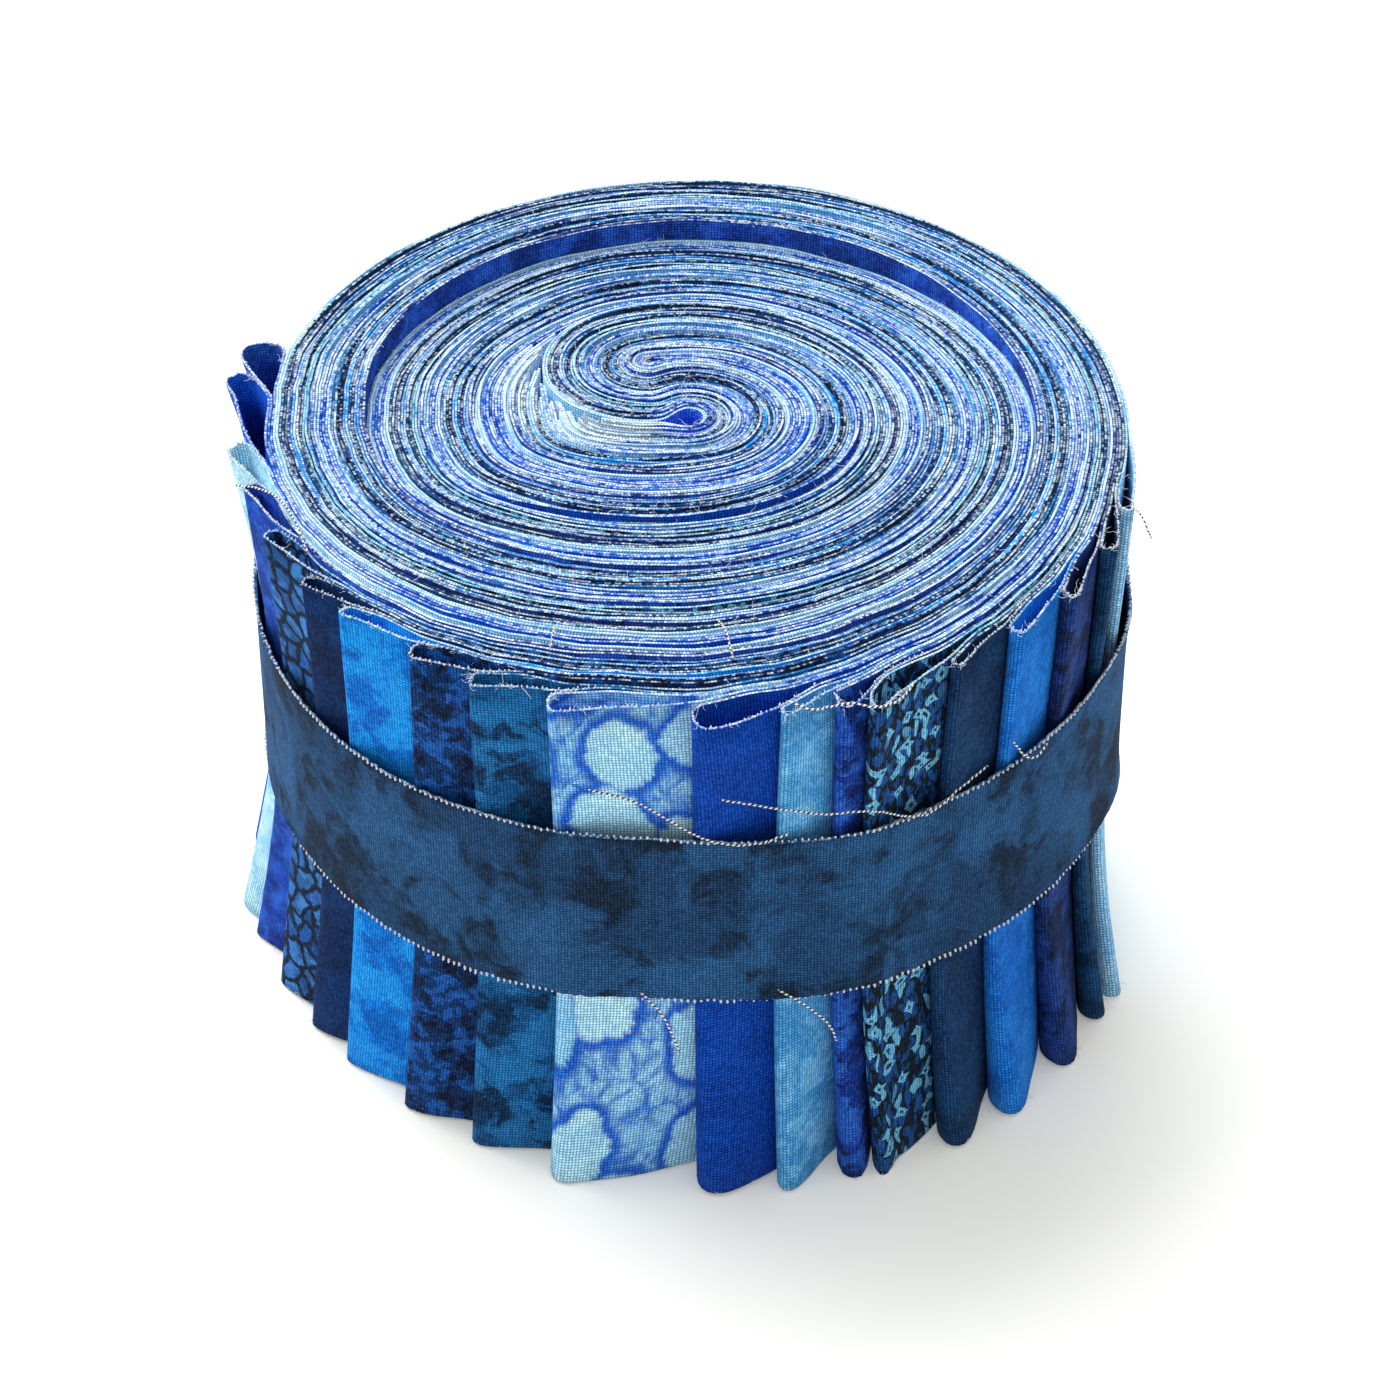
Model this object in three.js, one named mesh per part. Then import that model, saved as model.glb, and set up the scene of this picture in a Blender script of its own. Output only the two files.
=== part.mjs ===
// A roll of folded quilting-fabric strips, tied round its waist with a raw-edged cloth band.
// The roll stands on the cut edges of its strips. Millimetres, +Z up, origin under the middle of the whole.
import * as THREE from "three";

const { clamp, degToRad, euclideanModulo, lerp, radToDeg, smoothstep } = THREE.MathUtils;

// Main sizes. A strip is cut 2.5 inches wide, which is the height of the standing roll.
const STRIP_WIDTH = 63.5;
const STACK = 11.8; // all the folded strips pressed together, before they are rolled
const RIM_RADIUS = 45;
const LEG = 0.6; // one layer of a folded strip end
const FOLD_GAP = 0.3; // between the two layers of a fold
const CLEARANCE = 0.35; // between one piece and the next
const SEAM = 0.4; // between one turn of the stack and the next

// Where things are, seen from above. Azimuths are in degrees, counterclockwise from +X.
const AXIS = new THREE.Vector2(2.5, 1.55);
const CORE = new THREE.Vector2(-2.9, 8); // middle of the S, from the roll's axis
const CORE_AZIMUTH = 111; // from the S's front eye to its back eye
const EYE_RADIUS = 0.9;
const FULL_TURN = 360;
const HALF_TURN = 180;

// The winding angle runs clockwise from the back eye, so the strips wind outwards as it grows.
const SHORT_ARM = { start: 180, thins: 240, end: 320, gone: 336 };
const LONG_ARM = { firstFold: 136, lastFold: 306, wholeTurns: 2, solidEnd: 962 };
const STEP_DEGREES = 8;
const STEP_HALF = 0.6; // half the winding angle of the step where the last strip end meets the roll
const SPREAD_POWER = 0.7; // how much more the outer turns give way than the inner ones
const EYE_STEPS = 9; // sections round half of an eye
const TOP_STEPS = [0.6, 0.24, 0.18]; // shares of the way across the stack where its top has points
const SIDE_PASSES = 4; // rounds of finding where a ray from the core meets the roll's side
const ROLL_COLOUR = 0x5f86b8;

// The side of the roll under the strip ends lies deeper, and the band draws the waist in.
const SIDE = { back: 44.7, front: 43.2, backWaist: 0.5, frontWaist: 1.4 };
const SIDE_RAMP = { from: 146, to: 163, step: 349 };
const CLOSE_FOLDS = { azimuth: 292, width: 9, depth: 1.2 };
const WAIST_ROWS = [
  { z: 0, draw: 0 },
  { z: 9, draw: 0.5 },
  { z: 24, draw: 1 },
  { z: 47, draw: 1 },
  { z: 55.5, draw: 0.5 },
  { z: STRIP_WIDTH, draw: 0 },
];

// The outer ring of the top stands above the inner turns at the back.
const TOP_RING = { radius: 34.6, blend: 1.6, drop: 2.3, azimuth: 105, reach: 105 };
const TOP_RIPPLE = { height: 0.25, perMillimetre: 1.9 };

// A row for each strip end: the azimuth of its fold and how far its open loop reaches from the axis.
const STRIP_ENDS = [
  { fabric: "indigo", colour: 0x27408f, foldTop: 163, foldBottom: 164.5, outTop: 49.4, outBottom: 49.8 },
  { fabric: "royal", colour: 0x1b4fae, foldTop: 170, foldBottom: 172, outTop: 50.4, outBottom: 51.4 },
  { fabric: "aqua", colour: 0xb9dcea, foldTop: 184.4, foldBottom: 184.1, outTop: 48.7, outBottom: 50.6 },
  { fabric: "violet", colour: 0x2d3f9e, foldTop: 193.8, foldBottom: 191, outTop: 47.8, outBottom: 48.9 },
  { fabric: "pebble", colour: 0x5474a8, foldTop: 203.4, foldBottom: 200.1, outTop: 47.5, outBottom: 48.5 },
  { fabric: "navy", colour: 0x1c2a55, foldTop: 213.7, foldBottom: 209.9, outTop: 47.2, outBottom: 47.9 },
  { fabric: "azure", colour: 0x1f78cf, foldTop: 221.5, foldBottom: 218, outTop: 47, outBottom: 47.7 },
  { fabric: "night", colour: 0x1d2350, foldTop: 233.5, foldBottom: 229.5, outTop: 47.2, outBottom: 47.7 },
  { fabric: "teal", colour: 0x1c3f63, foldTop: 242.3, foldBottom: 240.3, outTop: 47.2, outBottom: 48.2 },
  { fabric: "petal", colour: 0x8fc4e6, foldTop: 252.4, foldBottom: 251.8, outTop: 47.7, outBottom: 50.2 },
  { fabric: "ultramarine", colour: 0x1440b4, foldTop: 269.6, foldBottom: 270.2, outTop: 48.7, outBottom: 50.1 },
  { fabric: "sky", colour: 0x5c96c4, foldTop: 280.1, foldBottom: 280.1, outTop: 47, outBottom: 50.2 },
  { fabric: "batik", colour: 0x3f3fa6, foldTop: 286.9, foldBottom: 288.1, outTop: 47.2, outBottom: 51 },
  { fabric: "leaf", colour: 0x2c3d5c, foldTop: 290.6, foldBottom: 292.2, outTop: 48.4, outBottom: 52 },
  { fabric: "slate", colour: 0x2e4468, foldTop: 302.6, foldBottom: 301.6, outTop: 46.8, outBottom: 51 },
  { fabric: "bright", colour: 0x2f6fc4, foldTop: 312.3, foldBottom: 310.3, outTop: 46.9, outBottom: 51.4 },
  { fabric: "purple", colour: 0x2c2f63, foldTop: 322, foldBottom: 321.4, outTop: 46.9, outBottom: 51.3 },
  { fabric: "deep", colour: 0x1c3a56, foldTop: 332.7, foldBottom: 330.9, outTop: 46.9, outBottom: 49.8 },
  { fabric: "pale", colour: 0xc9dcf2, foldTop: 341, foldBottom: 336, outTop: 46.9, outBottom: 49.4 },
];
const FOLDED = 2 * LEG + FOLD_GAP;
const UNDERLAP = 2.5; // how far a strip end runs on under the next fold
const FOLLOW = UNDERLAP + 0.8;
const FALL = { least: 1.2, most: 3 };
const NOSE = { least: 1.3, share: 0.45, most: 2.6, rests: 0.7 };
const NOSE_ANGLES = [45, 90, 135];
const LAYER_POINTS = 4; // along each layer of a strip end
const FLARE_POWER = 1.2; // how sharply the ends open towards the cut edges
const BULGE_KEPT = 0.3; // share of a loop's bulge that is left where the strip starts to fall
const TOP_LINES = [0, 0.35, 0.15]; // how much lower one strip's cut edge is than the next one's

// The band lies over the strip ends, with a plain lap at the back.
const BAND = { low: 24.6, high: 46.1, thickness: 1, front: 45.85, back: 44.55, wave: 0.45, rise: 1.1 };
const BAND_WAVES = { lean: 5, low: 3, high: 4, highStart: 1 };
const BAND_LAP = { azimuth: 78, length: 14, ramp: 7, settled: 2 };
const BAND_STEP = 6;
const BAND_RAMPS = { frontStart: [142, 160], frontEnd: [345, 357] };
const BAND_COLOUR = 0x233a5c;

const unit = (azimuth) => {
  const angle = degToRad(azimuth);
  return new THREE.Vector2(Math.cos(angle), Math.sin(angle));
};
const azimuthOf = (point) => euclideanModulo(radToDeg(Math.atan2(point.y, point.x)), FULL_TURN);
const windingAzimuth = (winding) => CORE_AZIMUTH - winding;

// Builds a closed solid through rings of points; each ring is one closed section along the piece.
function loft(rings) {
  const count = rings[0].length;
  const points = rings.flat();
  const faces = [];
  for (let start = 0; start + count < points.length; start += count) {
    for (let j = 0; j < count; j++) {
      const [a, b] = [start + j, start + ((j + 1) % count)];
      faces.push([a, b, b + count], [a, b + count, a + count]);
    }
  }
  const endFaces = (ring) => {
    const across = new THREE.Vector2().subVectors(ring[0], ring[count - 1]).normalize();
    const section = ring.map((p) => new THREE.Vector2(across.x * p.x + across.y * p.y, p.z));
    return THREE.ShapeUtils.triangulateShape(section, []).map((face) => face.sort((a, b) => a - b));
  };
  const last = points.length - count;
  faces.push(...endFaces(rings[0]).map(([a, b, c]) => [a, c, b]));
  faces.push(...endFaces(rings.at(-1)).map((face) => face.map((j) => j + last)));
  const corner = new THREE.Vector3();
  const wedge = ([a, b, c]) => corner.crossVectors(points[a], points[b]).dot(points[c]);
  const volume = faces.reduce((sum, face) => sum + wedge(face), 0);
  const outward = volume > 0 ? faces : faces.map(([a, b, c]) => [a, c, b]);
  const corners = outward.flat().flatMap((j) => points[j].toArray());
  const geometry = new THREE.BufferGeometry();
  geometry.setAttribute("position", new THREE.Float32BufferAttribute(corners, 3));
  geometry.computeVertexNormals();
  return geometry;
}

function clothMesh(name, fabric, rings, colour) {
  const cotton = new THREE.MeshStandardMaterial({ color: colour, roughness: 0.9, metalness: 0 });
  cotton.name = fabric;
  const mesh = new THREE.Mesh(loft(rings), cotton);
  mesh.name = name;
  return mesh;
}

// Distance from the middle of the S to the edge of its two half-round lobes.
function coreReach(winding) {
  const turn = euclideanModulo(winding, FULL_TURN);
  const lobeSide = turn < HALF_TURN ? -1 : 1;
  const along = lobeSide * (STACK / 2) * Math.cos(degToRad(turn));
  const across = (STACK / 2) * Math.sin(degToRad(turn));
  return along + Math.sqrt(STACK ** 2 - across ** 2);
}

// Thickness of the short inner arm of the stack, whose strips stop one after the other.
function shortArm(winding) {
  const turn = euclideanModulo(winding, FULL_TURN);
  const passed = (turn - SHORT_ARM.thins) / (SHORT_ARM.gone - SHORT_ARM.thins);
  return turn < SHORT_ARM.start ? 0 : STACK * (1 - clamp(passed, 0, 1));
}

// Inner edge of the long arm at a winding angle, before the turns settle against each other.
const turnEdge = (winding) =>
  coreReach(winding) + shortArm(winding) + STACK * Math.floor(winding / FULL_TURN);

// Distance along a ray from the middle of the S to a circle about the roll's axis.
function rayToCircle(azimuth, radius) {
  const along = CORE.dot(unit(azimuth));
  return -along + Math.sqrt(along ** 2 + radius ** 2 - CORE.lengthSq());
}

// Settles a point of the ideal winding, given from the middle of the S, so that the rim comes out round.
function settle(azimuth, reach) {
  const turn = euclideanModulo(CORE_AZIMUTH - azimuth, FULL_TURN);
  const left = 1 - clamp((turn - LONG_ARM.firstFold) / (LONG_ARM.lastFold - LONG_ARM.firstFold), 0, 1);
  const edge = turnEdge(turn + LONG_ARM.wholeTurns * FULL_TURN) + STACK * left;
  const give = rayToCircle(azimuth, RIM_RADIUS) / edge - 1;
  const settled = reach * (1 + give * (reach / edge) ** SPREAD_POWER);
  return unit(azimuth).multiplyScalar(settled).add(CORE);
}

const settlePoint = (point) => settle(azimuthOf(point), point.length());

// Radius of the wound roll's side about its axis, at an azimuth and with the waist drawn in by a share.
function sideRadius(azimuth, draw) {
  const recess = azimuth < SIDE_RAMP.step ? smoothstep(azimuth, SIDE_RAMP.from, SIDE_RAMP.to) : 0;
  const back = SIDE.back - SIDE.backWaist * draw;
  const front = SIDE.front - SIDE.frontWaist * draw;
  const dip = CLOSE_FOLDS.depth * Math.exp(-(((azimuth - CLOSE_FOLDS.azimuth) / CLOSE_FOLDS.width) ** 2));
  return lerp(back, front, recess) - dip;
}

// The point of the roll's side on a ray from the middle of the S.
function sidePoint(azimuth, draw) {
  let point = unit(azimuth).multiplyScalar(RIM_RADIUS);
  for (let pass = 0; pass < SIDE_PASSES; pass++) {
    const radius = sideRadius(azimuthOf(point), draw);
    point = unit(azimuth).multiplyScalar(rayToCircle(azimuth, radius)).add(CORE);
  }
  return point;
}

// Height of the roll's top at a point given from its axis.
function topHeight(point) {
  const turned = euclideanModulo(azimuthOf(point) - TOP_RING.azimuth + HALF_TURN, FULL_TURN);
  const behind = Math.abs(turned - HALF_TURN);
  const share = 1 - smoothstep(behind, TOP_RING.reach / 2, TOP_RING.reach);
  const inside = 1 - smoothstep(point.length(), TOP_RING.radius - TOP_RING.blend, TOP_RING.radius);
  const phase = point.length() * TOP_RIPPLE.perMillimetre + degToRad(azimuthOf(point));
  return STRIP_WIDTH - TOP_RING.drop * share * inside - TOP_RIPPLE.height * (1 + Math.sin(phase));
}

const place = (point, z) => new THREE.Vector3(point.x + AXIS.x, point.y + AXIS.y, z);

// One section of the wound stack: its outer side by rows, its top in steps, and its inner side.
function stackSection(inner, outerAt) {
  const rim = outerAt(0);
  const outer = WAIST_ROWS.map(({ z, draw }) =>
    place(outerAt(draw), z === STRIP_WIDTH ? topHeight(rim) : z),
  );
  const top = TOP_STEPS.map((share) => {
    const point = inner.clone().lerp(rim, share);
    return place(point, topHeight(point));
  });
  return [...outer, ...top, place(inner, topHeight(inner)), place(inner, 0)];
}

// The wound roll is the stack of strips, folded over in an S at its core and wound on from there.
function woundRoll() {
  const halfSeam = SEAM / 2;
  const sections = [];
  const fixed = (point) => () => point;
  const steps = (from, to, count) => Array.from({ length: count + 1 }, (_, i) => lerp(from, to, i / count));

  const shortSteps = Math.round((SHORT_ARM.end - SHORT_ARM.start) / STEP_DEGREES);
  for (const winding of steps(SHORT_ARM.end, SHORT_ARM.start + 1, shortSteps)) {
    const azimuth = windingAzimuth(winding);
    const reach = coreReach(winding);
    const inner = settle(azimuth, reach + halfSeam);
    sections.push(stackSection(settle(azimuth, reach + shortArm(winding) - halfSeam), fixed(inner)));
  }

  const eyes = [
    { side: -1, faces: [STACK - halfSeam, 0] },
    { side: 1, faces: [0, STACK - halfSeam] },
  ];
  for (const { side, faces } of eyes) {
    const eye = unit(CORE_AZIMUTH).multiplyScalar((side * STACK) / 2);
    for (const turn of steps(HALF_TURN, 0, EYE_STEPS).slice(1, -1)) {
      const direction = unit(CORE_AZIMUTH + side * turn);
      const hole = halfSeam + EYE_RADIUS * Math.sin(degToRad(turn));
      const points = faces.map((reach) => direction.clone().multiplyScalar(reach || hole).add(eye));
      const [first, second] = points;
      sections.push(stackSection(settlePoint(first), fixed(settlePoint(second))));
    }
  }

  const step = CORE_AZIMUTH - azimuthOf(unit(SIDE_RAMP.step).multiplyScalar(SIDE.back).sub(CORE));
  const stepWinding = euclideanModulo(step, FULL_TURN) + LONG_ARM.wholeTurns * FULL_TURN;
  const longSteps = Math.round(LONG_ARM.solidEnd / STEP_DEGREES);
  const clear = (winding) => Math.abs(winding - stepWinding) > 2 * STEP_HALF;
  const even = steps(1, LONG_ARM.solidEnd, longSteps).filter(clear);
  const beneathEnd = LONG_ARM.solidEnd - FULL_TURN;
  const closeUp = [beneathEnd, beneathEnd + 2 * STEP_HALF];
  const windings = [...even, ...closeUp, stepWinding - STEP_HALF, stepWinding + STEP_HALF];
  for (const winding of windings.sort((a, b) => a - b)) {
    const azimuth = windingAzimuth(winding);
    const covered = winding + FULL_TURN <= LONG_ARM.solidEnd;
    const outer = covered
      ? fixed(settle(azimuth, turnEdge(winding + FULL_TURN) - halfSeam))
      : (draw) => sidePoint(azimuth, draw);
    sections.push(stackSection(settle(azimuth, turnEdge(winding) + halfSeam), outer));
  }
  return clothMesh("wound_roll", "cut_edges", sections, ROLL_COLOUR);
}

// Share of a strip end's flare at each row of the side: open at the cut edges, pressed flat at the waist.
const flareAt = (row) => (1 - WAIST_ROWS[row].draw) ** FLARE_POWER;
const heightShare = (row) => WAIST_ROWS[row].z / STRIP_WIDTH;
const foldAt = ({ foldTop, foldBottom }, row) => lerp(foldBottom, foldTop, heightShare(row));
const arcToDegrees = (arc) => radToDeg(arc / RIM_RADIUS);

// Distances along a strip end from its fold, and how high it lies over the roll's side, at one row.
function layStrip(index, row, below) {
  const strip = STRIP_ENDS[index];
  const fold = foldAt(strip, row);
  const following = STRIP_ENDS[index + 1];
  const lastEnd = SIDE_RAMP.step - 2 * arcToDegrees(CLEARANCE) - STEP_HALF;
  const end = following ? foldAt(following, row) : lastEnd;
  const pitch = degToRad(end - fold) * RIM_RADIUS;
  const length = pitch + (following ? UNDERLAP : 0);
  const nose = clamp(pitch * NOSE.share, NOSE.least, NOSE.most);
  const fallen = FOLLOW + clamp(pitch - FOLLOW, FALL.least, FALL.most);
  const lift = (arc) => {
    const beyondNose = clamp(arc - NOSE.rests * nose, 0, FOLLOW);
    const onTop = below ? below.top(below.pitch + beyondNose) + CLEARANCE : CLEARANCE;
    const share = clamp((arc - FOLLOW) / (fallen - FOLLOW), 0, 1);
    return lerp(onTop, CLEARANCE, share);
  };
  const reach = heightShare(row) < 1 / 2 ? strip.outBottom : strip.outTop;
  const room = reach - sideRadius(fold, 0) - FOLDED - lift(nose);
  const bulge = Math.max(0, room) * flareAt(row);
  const swell = (arc) => {
    if (arc <= nose) return bulge;
    if (arc <= FOLLOW) return bulge * lerp(1, BULGE_KEPT, (arc - nose) / (FOLLOW - nose));
    return bulge * BULGE_KEPT * clamp(1 - (arc - FOLLOW) / (fallen - FOLLOW), 0, 1);
  };
  const top = (arc) => lift(arc) + FOLDED + swell(arc);
  return { fold, pitch, length, nose, fallen, lift, top };
}

// Each strip end lies on the end before it and runs on under the next one.
const LAID = WAIST_ROWS.map((_, row) => {
  const ends = [];
  STRIP_ENDS.forEach((_strip, index) => ends.push(layStrip(index, row, ends[index - 1])));
  return ends;
});

// The outline of a strip end at one row: pairs of a point on its outside and one on its inside.
// The open loop of the fold is a half ellipse, from the outer layer round to the inner one.
function foldOutline(laid) {
  const { nose, length, fallen, lift, top } = laid;
  const arcs = [length, fallen, FOLLOW, nose].filter((arc) => arc <= length);
  while (arcs.length < LAYER_POINTS) arcs.unshift(length);
  const layer = (height, across) => arcs.map((arc) => [[arc, height(arc)], [arc, height(arc) + across]]);
  const outerLayer = layer(top, -LEG);
  const innerLayer = layer(lift, LEG).reverse();
  const half = (top(nose) - lift(nose)) / 2;
  const middle = lift(nose) + half;
  const loop = NOSE_ANGLES.map((angle) => {
    const [back, up] = [Math.sin(degToRad(angle)), Math.cos(degToRad(angle))];
    const outside = [nose * (1 - back), middle + half * up];
    return [outside, [nose - (nose - LEG) * back, middle + (half - LEG) * up]];
  });
  return [...outerLayer, ...loop, ...innerLayer];
}

function stripEnd(index) {
  const { fabric, colour } = STRIP_ENDS[index];
  const lowered = TOP_LINES[index % TOP_LINES.length];
  const rows = WAIST_ROWS.map(({ z, draw }, row) => {
    const laid = LAID[row][index];
    const height = z === STRIP_WIDTH ? z - lowered : z;
    return foldOutline(laid).map((pair) =>
      pair.map(([arc, over]) => {
        const azimuth = laid.fold + arcToDegrees(arc);
        return place(unit(azimuth).multiplyScalar(sideRadius(azimuth, draw) + over), height);
      }),
    );
  });
  const rings = rows[0].map((_, i) => [
    ...rows.map((row) => row[i][0]),
    ...rows.map((row) => row[i][1]).reverse(),
  ]);
  return clothMesh(`strip_end_${String(index + 1).padStart(2, "0")}`, fabric, rings, colour);
}

// Inner radius of the band: wide over the strip ends, close to the roll at the back.
function bandRadius(azimuth) {
  const angle = euclideanModulo(azimuth, FULL_TURN);
  const begun = smoothstep(angle, ...BAND_RAMPS.frontStart);
  const ended = smoothstep(angle, ...BAND_RAMPS.frontEnd);
  return lerp(BAND.back, BAND.front, begun * (1 - ended));
}

// The band goes once round and laps over its own beginning at the back.
function band() {
  const lap = arcToDegrees(BAND_LAP.length);
  const ramp = arcToDegrees(BAND_LAP.ramp);
  const count = Math.ceil((FULL_TURN + lap) / BAND_STEP);
  const rings = Array.from({ length: count + 1 }, (_, i) => {
    const gone = ((FULL_TURN + lap) * i) / count;
    const azimuth = BAND_LAP.azimuth + gone;
    const over = smoothstep(gone, FULL_TURN - ramp, FULL_TURN - BAND_LAP.settled);
    const inner = bandRadius(azimuth) + over * (BAND.thickness + CLEARANCE);
    const turn = degToRad(azimuth);
    const lean = (BAND.rise * Math.cos(turn) - BAND.wave * Math.sin(BAND_WAVES.lean * turn)) / 2;
    const low = BAND.low + lean + BAND.wave * Math.sin(BAND_WAVES.low * turn);
    const high = BAND.high + lean + BAND.wave * Math.cos(BAND_WAVES.high * turn + BAND_WAVES.highStart);
    const heights = [low, lerp(low, high, 1 / 2), high];
    const face = (radius) => heights.map((z) => place(unit(azimuth).multiplyScalar(radius), z));
    return [...face(inner + BAND.thickness), ...face(inner).reverse()];
  });
  return clothMesh("band", "band", rings, BAND_COLOUR);
}

const roll = new THREE.Group();
roll.add(woundRoll());
STRIP_ENDS.forEach((_, index) => roll.add(stripEnd(index)));
roll.add(band());

export default roll;
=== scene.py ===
# %% [markdown]
# A roll of folded quilting strips
#
# Nineteen cotton strips, each folded in half end to end, are stacked like shingles, folded over
# at the core and rolled up. The roll stands on the cut edges of its strips, and a torn cloth band ties it.
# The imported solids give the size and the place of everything. Here each strip becomes one long thin
# sheet that really follows its whole way through the roll, so the spiral on top is made by cut cloth.

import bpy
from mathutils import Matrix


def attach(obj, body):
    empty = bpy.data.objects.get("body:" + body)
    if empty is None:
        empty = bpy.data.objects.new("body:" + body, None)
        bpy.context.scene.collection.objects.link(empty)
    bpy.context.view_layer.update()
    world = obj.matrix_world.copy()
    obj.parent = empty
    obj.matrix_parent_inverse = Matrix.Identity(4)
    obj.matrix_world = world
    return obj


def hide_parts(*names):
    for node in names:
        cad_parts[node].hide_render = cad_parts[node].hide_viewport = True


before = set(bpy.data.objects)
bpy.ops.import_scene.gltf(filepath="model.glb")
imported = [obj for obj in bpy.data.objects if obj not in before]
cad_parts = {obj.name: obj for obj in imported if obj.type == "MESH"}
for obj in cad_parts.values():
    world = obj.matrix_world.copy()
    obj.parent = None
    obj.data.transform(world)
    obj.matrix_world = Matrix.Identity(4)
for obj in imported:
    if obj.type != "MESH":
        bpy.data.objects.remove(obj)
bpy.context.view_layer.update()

# %% [markdown]
# Sizes and the list of strips
#
# All sizes are millimetres until a mesh is made. Every strip has a row: where its fold stands round the
# roll at the top and the bottom edge, how far its open loop reaches out from the roll's axis, and the
# winding angle at which its cut ends stop inside the roll.

# %% Sizes
import math

import bmesh
import bpy
import numpy as np
from mathutils import Vector

MM = 0.001
STRIP_WIDTH = 63.5
STACK = 11.8
RIM_RADIUS = 45.0
CLOTH = 0.24
AXIS = np.array([2.5, 1.55])
CORE = np.array([-2.9, 8.0])
CORE_AZIMUTH = 111.0
WHOLE_TURNS = 2

STRIPS = [
    # name, fold azimuth at top and bottom, reach at top and bottom, cut end's winding angle
    ("indigo", 163.0, 164.5, 49.4, 49.8, 322),
    ("royal", 170.0, 172.0, 50.4, 51.4, 329),
    ("aqua", 184.4, 184.1, 48.7, 50.6, 311),
    ("violet", 193.8, 191.0, 47.8, 48.9, 318),
    ("pebble", 203.4, 200.1, 47.5, 48.5, 306),
    ("navy", 213.7, 209.9, 47.2, 47.9, 297),
    ("azure", 221.5, 218.0, 47.0, 47.7, 309),
    ("night", 233.5, 229.5, 47.2, 47.7, 292),
    ("teal", 242.3, 240.3, 47.2, 48.2, 284),
    ("petal", 252.4, 251.8, 47.7, 50.2, 296),
    ("ultramarine", 269.6, 270.2, 48.7, 50.1, 279),
    ("sky", 280.1, 280.1, 47.0, 50.2, 268),
    ("batik", 286.9, 288.1, 47.2, 51.0, 283),
    ("leaf", 290.6, 292.2, 48.4, 52.0, 271),
    ("slate", 302.6, 301.6, 46.8, 51.0, 262),
    ("bright", 312.3, 310.3, 46.9, 51.4, 254),
    ("purple", 322.0, 321.4, 46.9, 51.3, 259),
    ("deep", 332.7, 330.9, 46.9, 49.8, 248),
    ("pale", 341.0, 336.0, 46.9, 49.4, 252),
]
COUNT = len(STRIPS)
LAYER = STACK / (2 * COUNT)
FOLD_TOP, FOLD_BOTTOM, REACH_TOP, REACH_BOTTOM, CUT_END = np.array([row[1:] for row in STRIPS]).T
FOLD_MIDDLE = (FOLD_TOP + FOLD_BOTTOM) / 2
FOLDS_END = 349.0
PITCH = np.radians(np.diff(np.append(FOLD_MIDDLE, FOLDS_END))) * RIM_RADIUS
print(COUNT, "strips, one layer", round(LAYER, 3), "mm, pitches", np.round(PITCH, 1))

# %% [markdown]
# The camera
#
# The photograph looks down at the roll from about half a metre. The camera stands on the same line, with
# the lens that gives the rim its size in the picture, and a very small shift for the framing.

# %% Camera
IMAGE = 1400
LOOK_DOWN = math.radians(39.26)
DISTANCE = 500.0
PIXELS_PER_MM = 9.23
TARGET = Vector((2.7, 3.45, STRIP_WIDTH / 2)) * MM
TARGET_PIXEL = (698.0, 644.0)


def place_object(name, data):
    """A new object in the scene."""
    made = bpy.data.objects.new(name, data)
    bpy.context.scene.collection.objects.link(made)
    return made


eye = bpy.data.cameras.new("photo_camera")
eye.sensor_width = 36
eye.lens = PIXELS_PER_MM * DISTANCE / IMAGE * eye.sensor_width
eye.shift_x = (IMAGE / 2 - TARGET_PIXEL[0]) / IMAGE
eye.shift_y = (TARGET_PIXEL[1] - IMAGE / 2) / IMAGE
eye.clip_start, eye.clip_end = 0.01, 20
camera = place_object("photo_camera", eye)
away = Vector((0, -math.cos(LOOK_DOWN), math.sin(LOOK_DOWN)))
camera.location = TARGET + away * DISTANCE * MM
camera.rotation_euler = (-away).to_track_quat("-Z", "Y").to_euler()
bpy.context.scene.camera = camera
print("camera at", [round(x, 3) for x in camera.location], "lens", round(eye.lens, 1), "mm")

# %% [markdown]
# Angles round the roll
#
# Everything is laid out in polar places. The folds are seen from the roll's axis, and the winding is
# counted clockwise from the back eye round the core, which sits off the axis, so one is turned into the
# other here. The ramp is the soft step used wherever one shape passes into another.


# %% Angles
def unit(azimuth):
    angle = np.radians(azimuth)
    return np.stack([np.cos(angle), np.sin(angle)], axis=-1)


def azimuth_of(points):
    return np.degrees(np.arctan2(points[..., 1], points[..., 0]))


def rim_turn(azimuth):
    """The turn round the core at which the rim stands, for an azimuth seen from the roll's axis."""
    return np.mod(CORE_AZIMUTH - azimuth_of(unit(azimuth) * RIM_RADIUS - CORE), 360)


def ramp(x, low, high):
    share = np.clip((x - low) / (high - low), 0, 1)
    return share * share * (3 - 2 * share)


FOLD_TURN = rim_turn(FOLD_MIDDLE)
print("the folds stand at turns", np.round(FOLD_TURN))

# %% [markdown]
# Where the cloth runs
#
# The core of the roll is an S: the stack of folded strips bends round one eye and then round the other.
# Outside the S the stack winds on, one turn outside the other. A spiral formula would miss the S and the
# cut ends, so these short functions add up what really lies under each turn: the S itself, the layers of
# the short arm that haven't ended yet, and the whole turns.


# %% Turns
CUT_FADE = np.array([-6, 22])
FOLD_FADE = 7


def core_reach(turn):
    lobe = np.where(turn < 180, -1.0, 1.0)
    along = lobe * STACK / 2 * np.cos(np.radians(turn))
    across = STACK / 2 * np.sin(np.radians(turn))
    return along + np.sqrt(STACK**2 - across**2)


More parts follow.
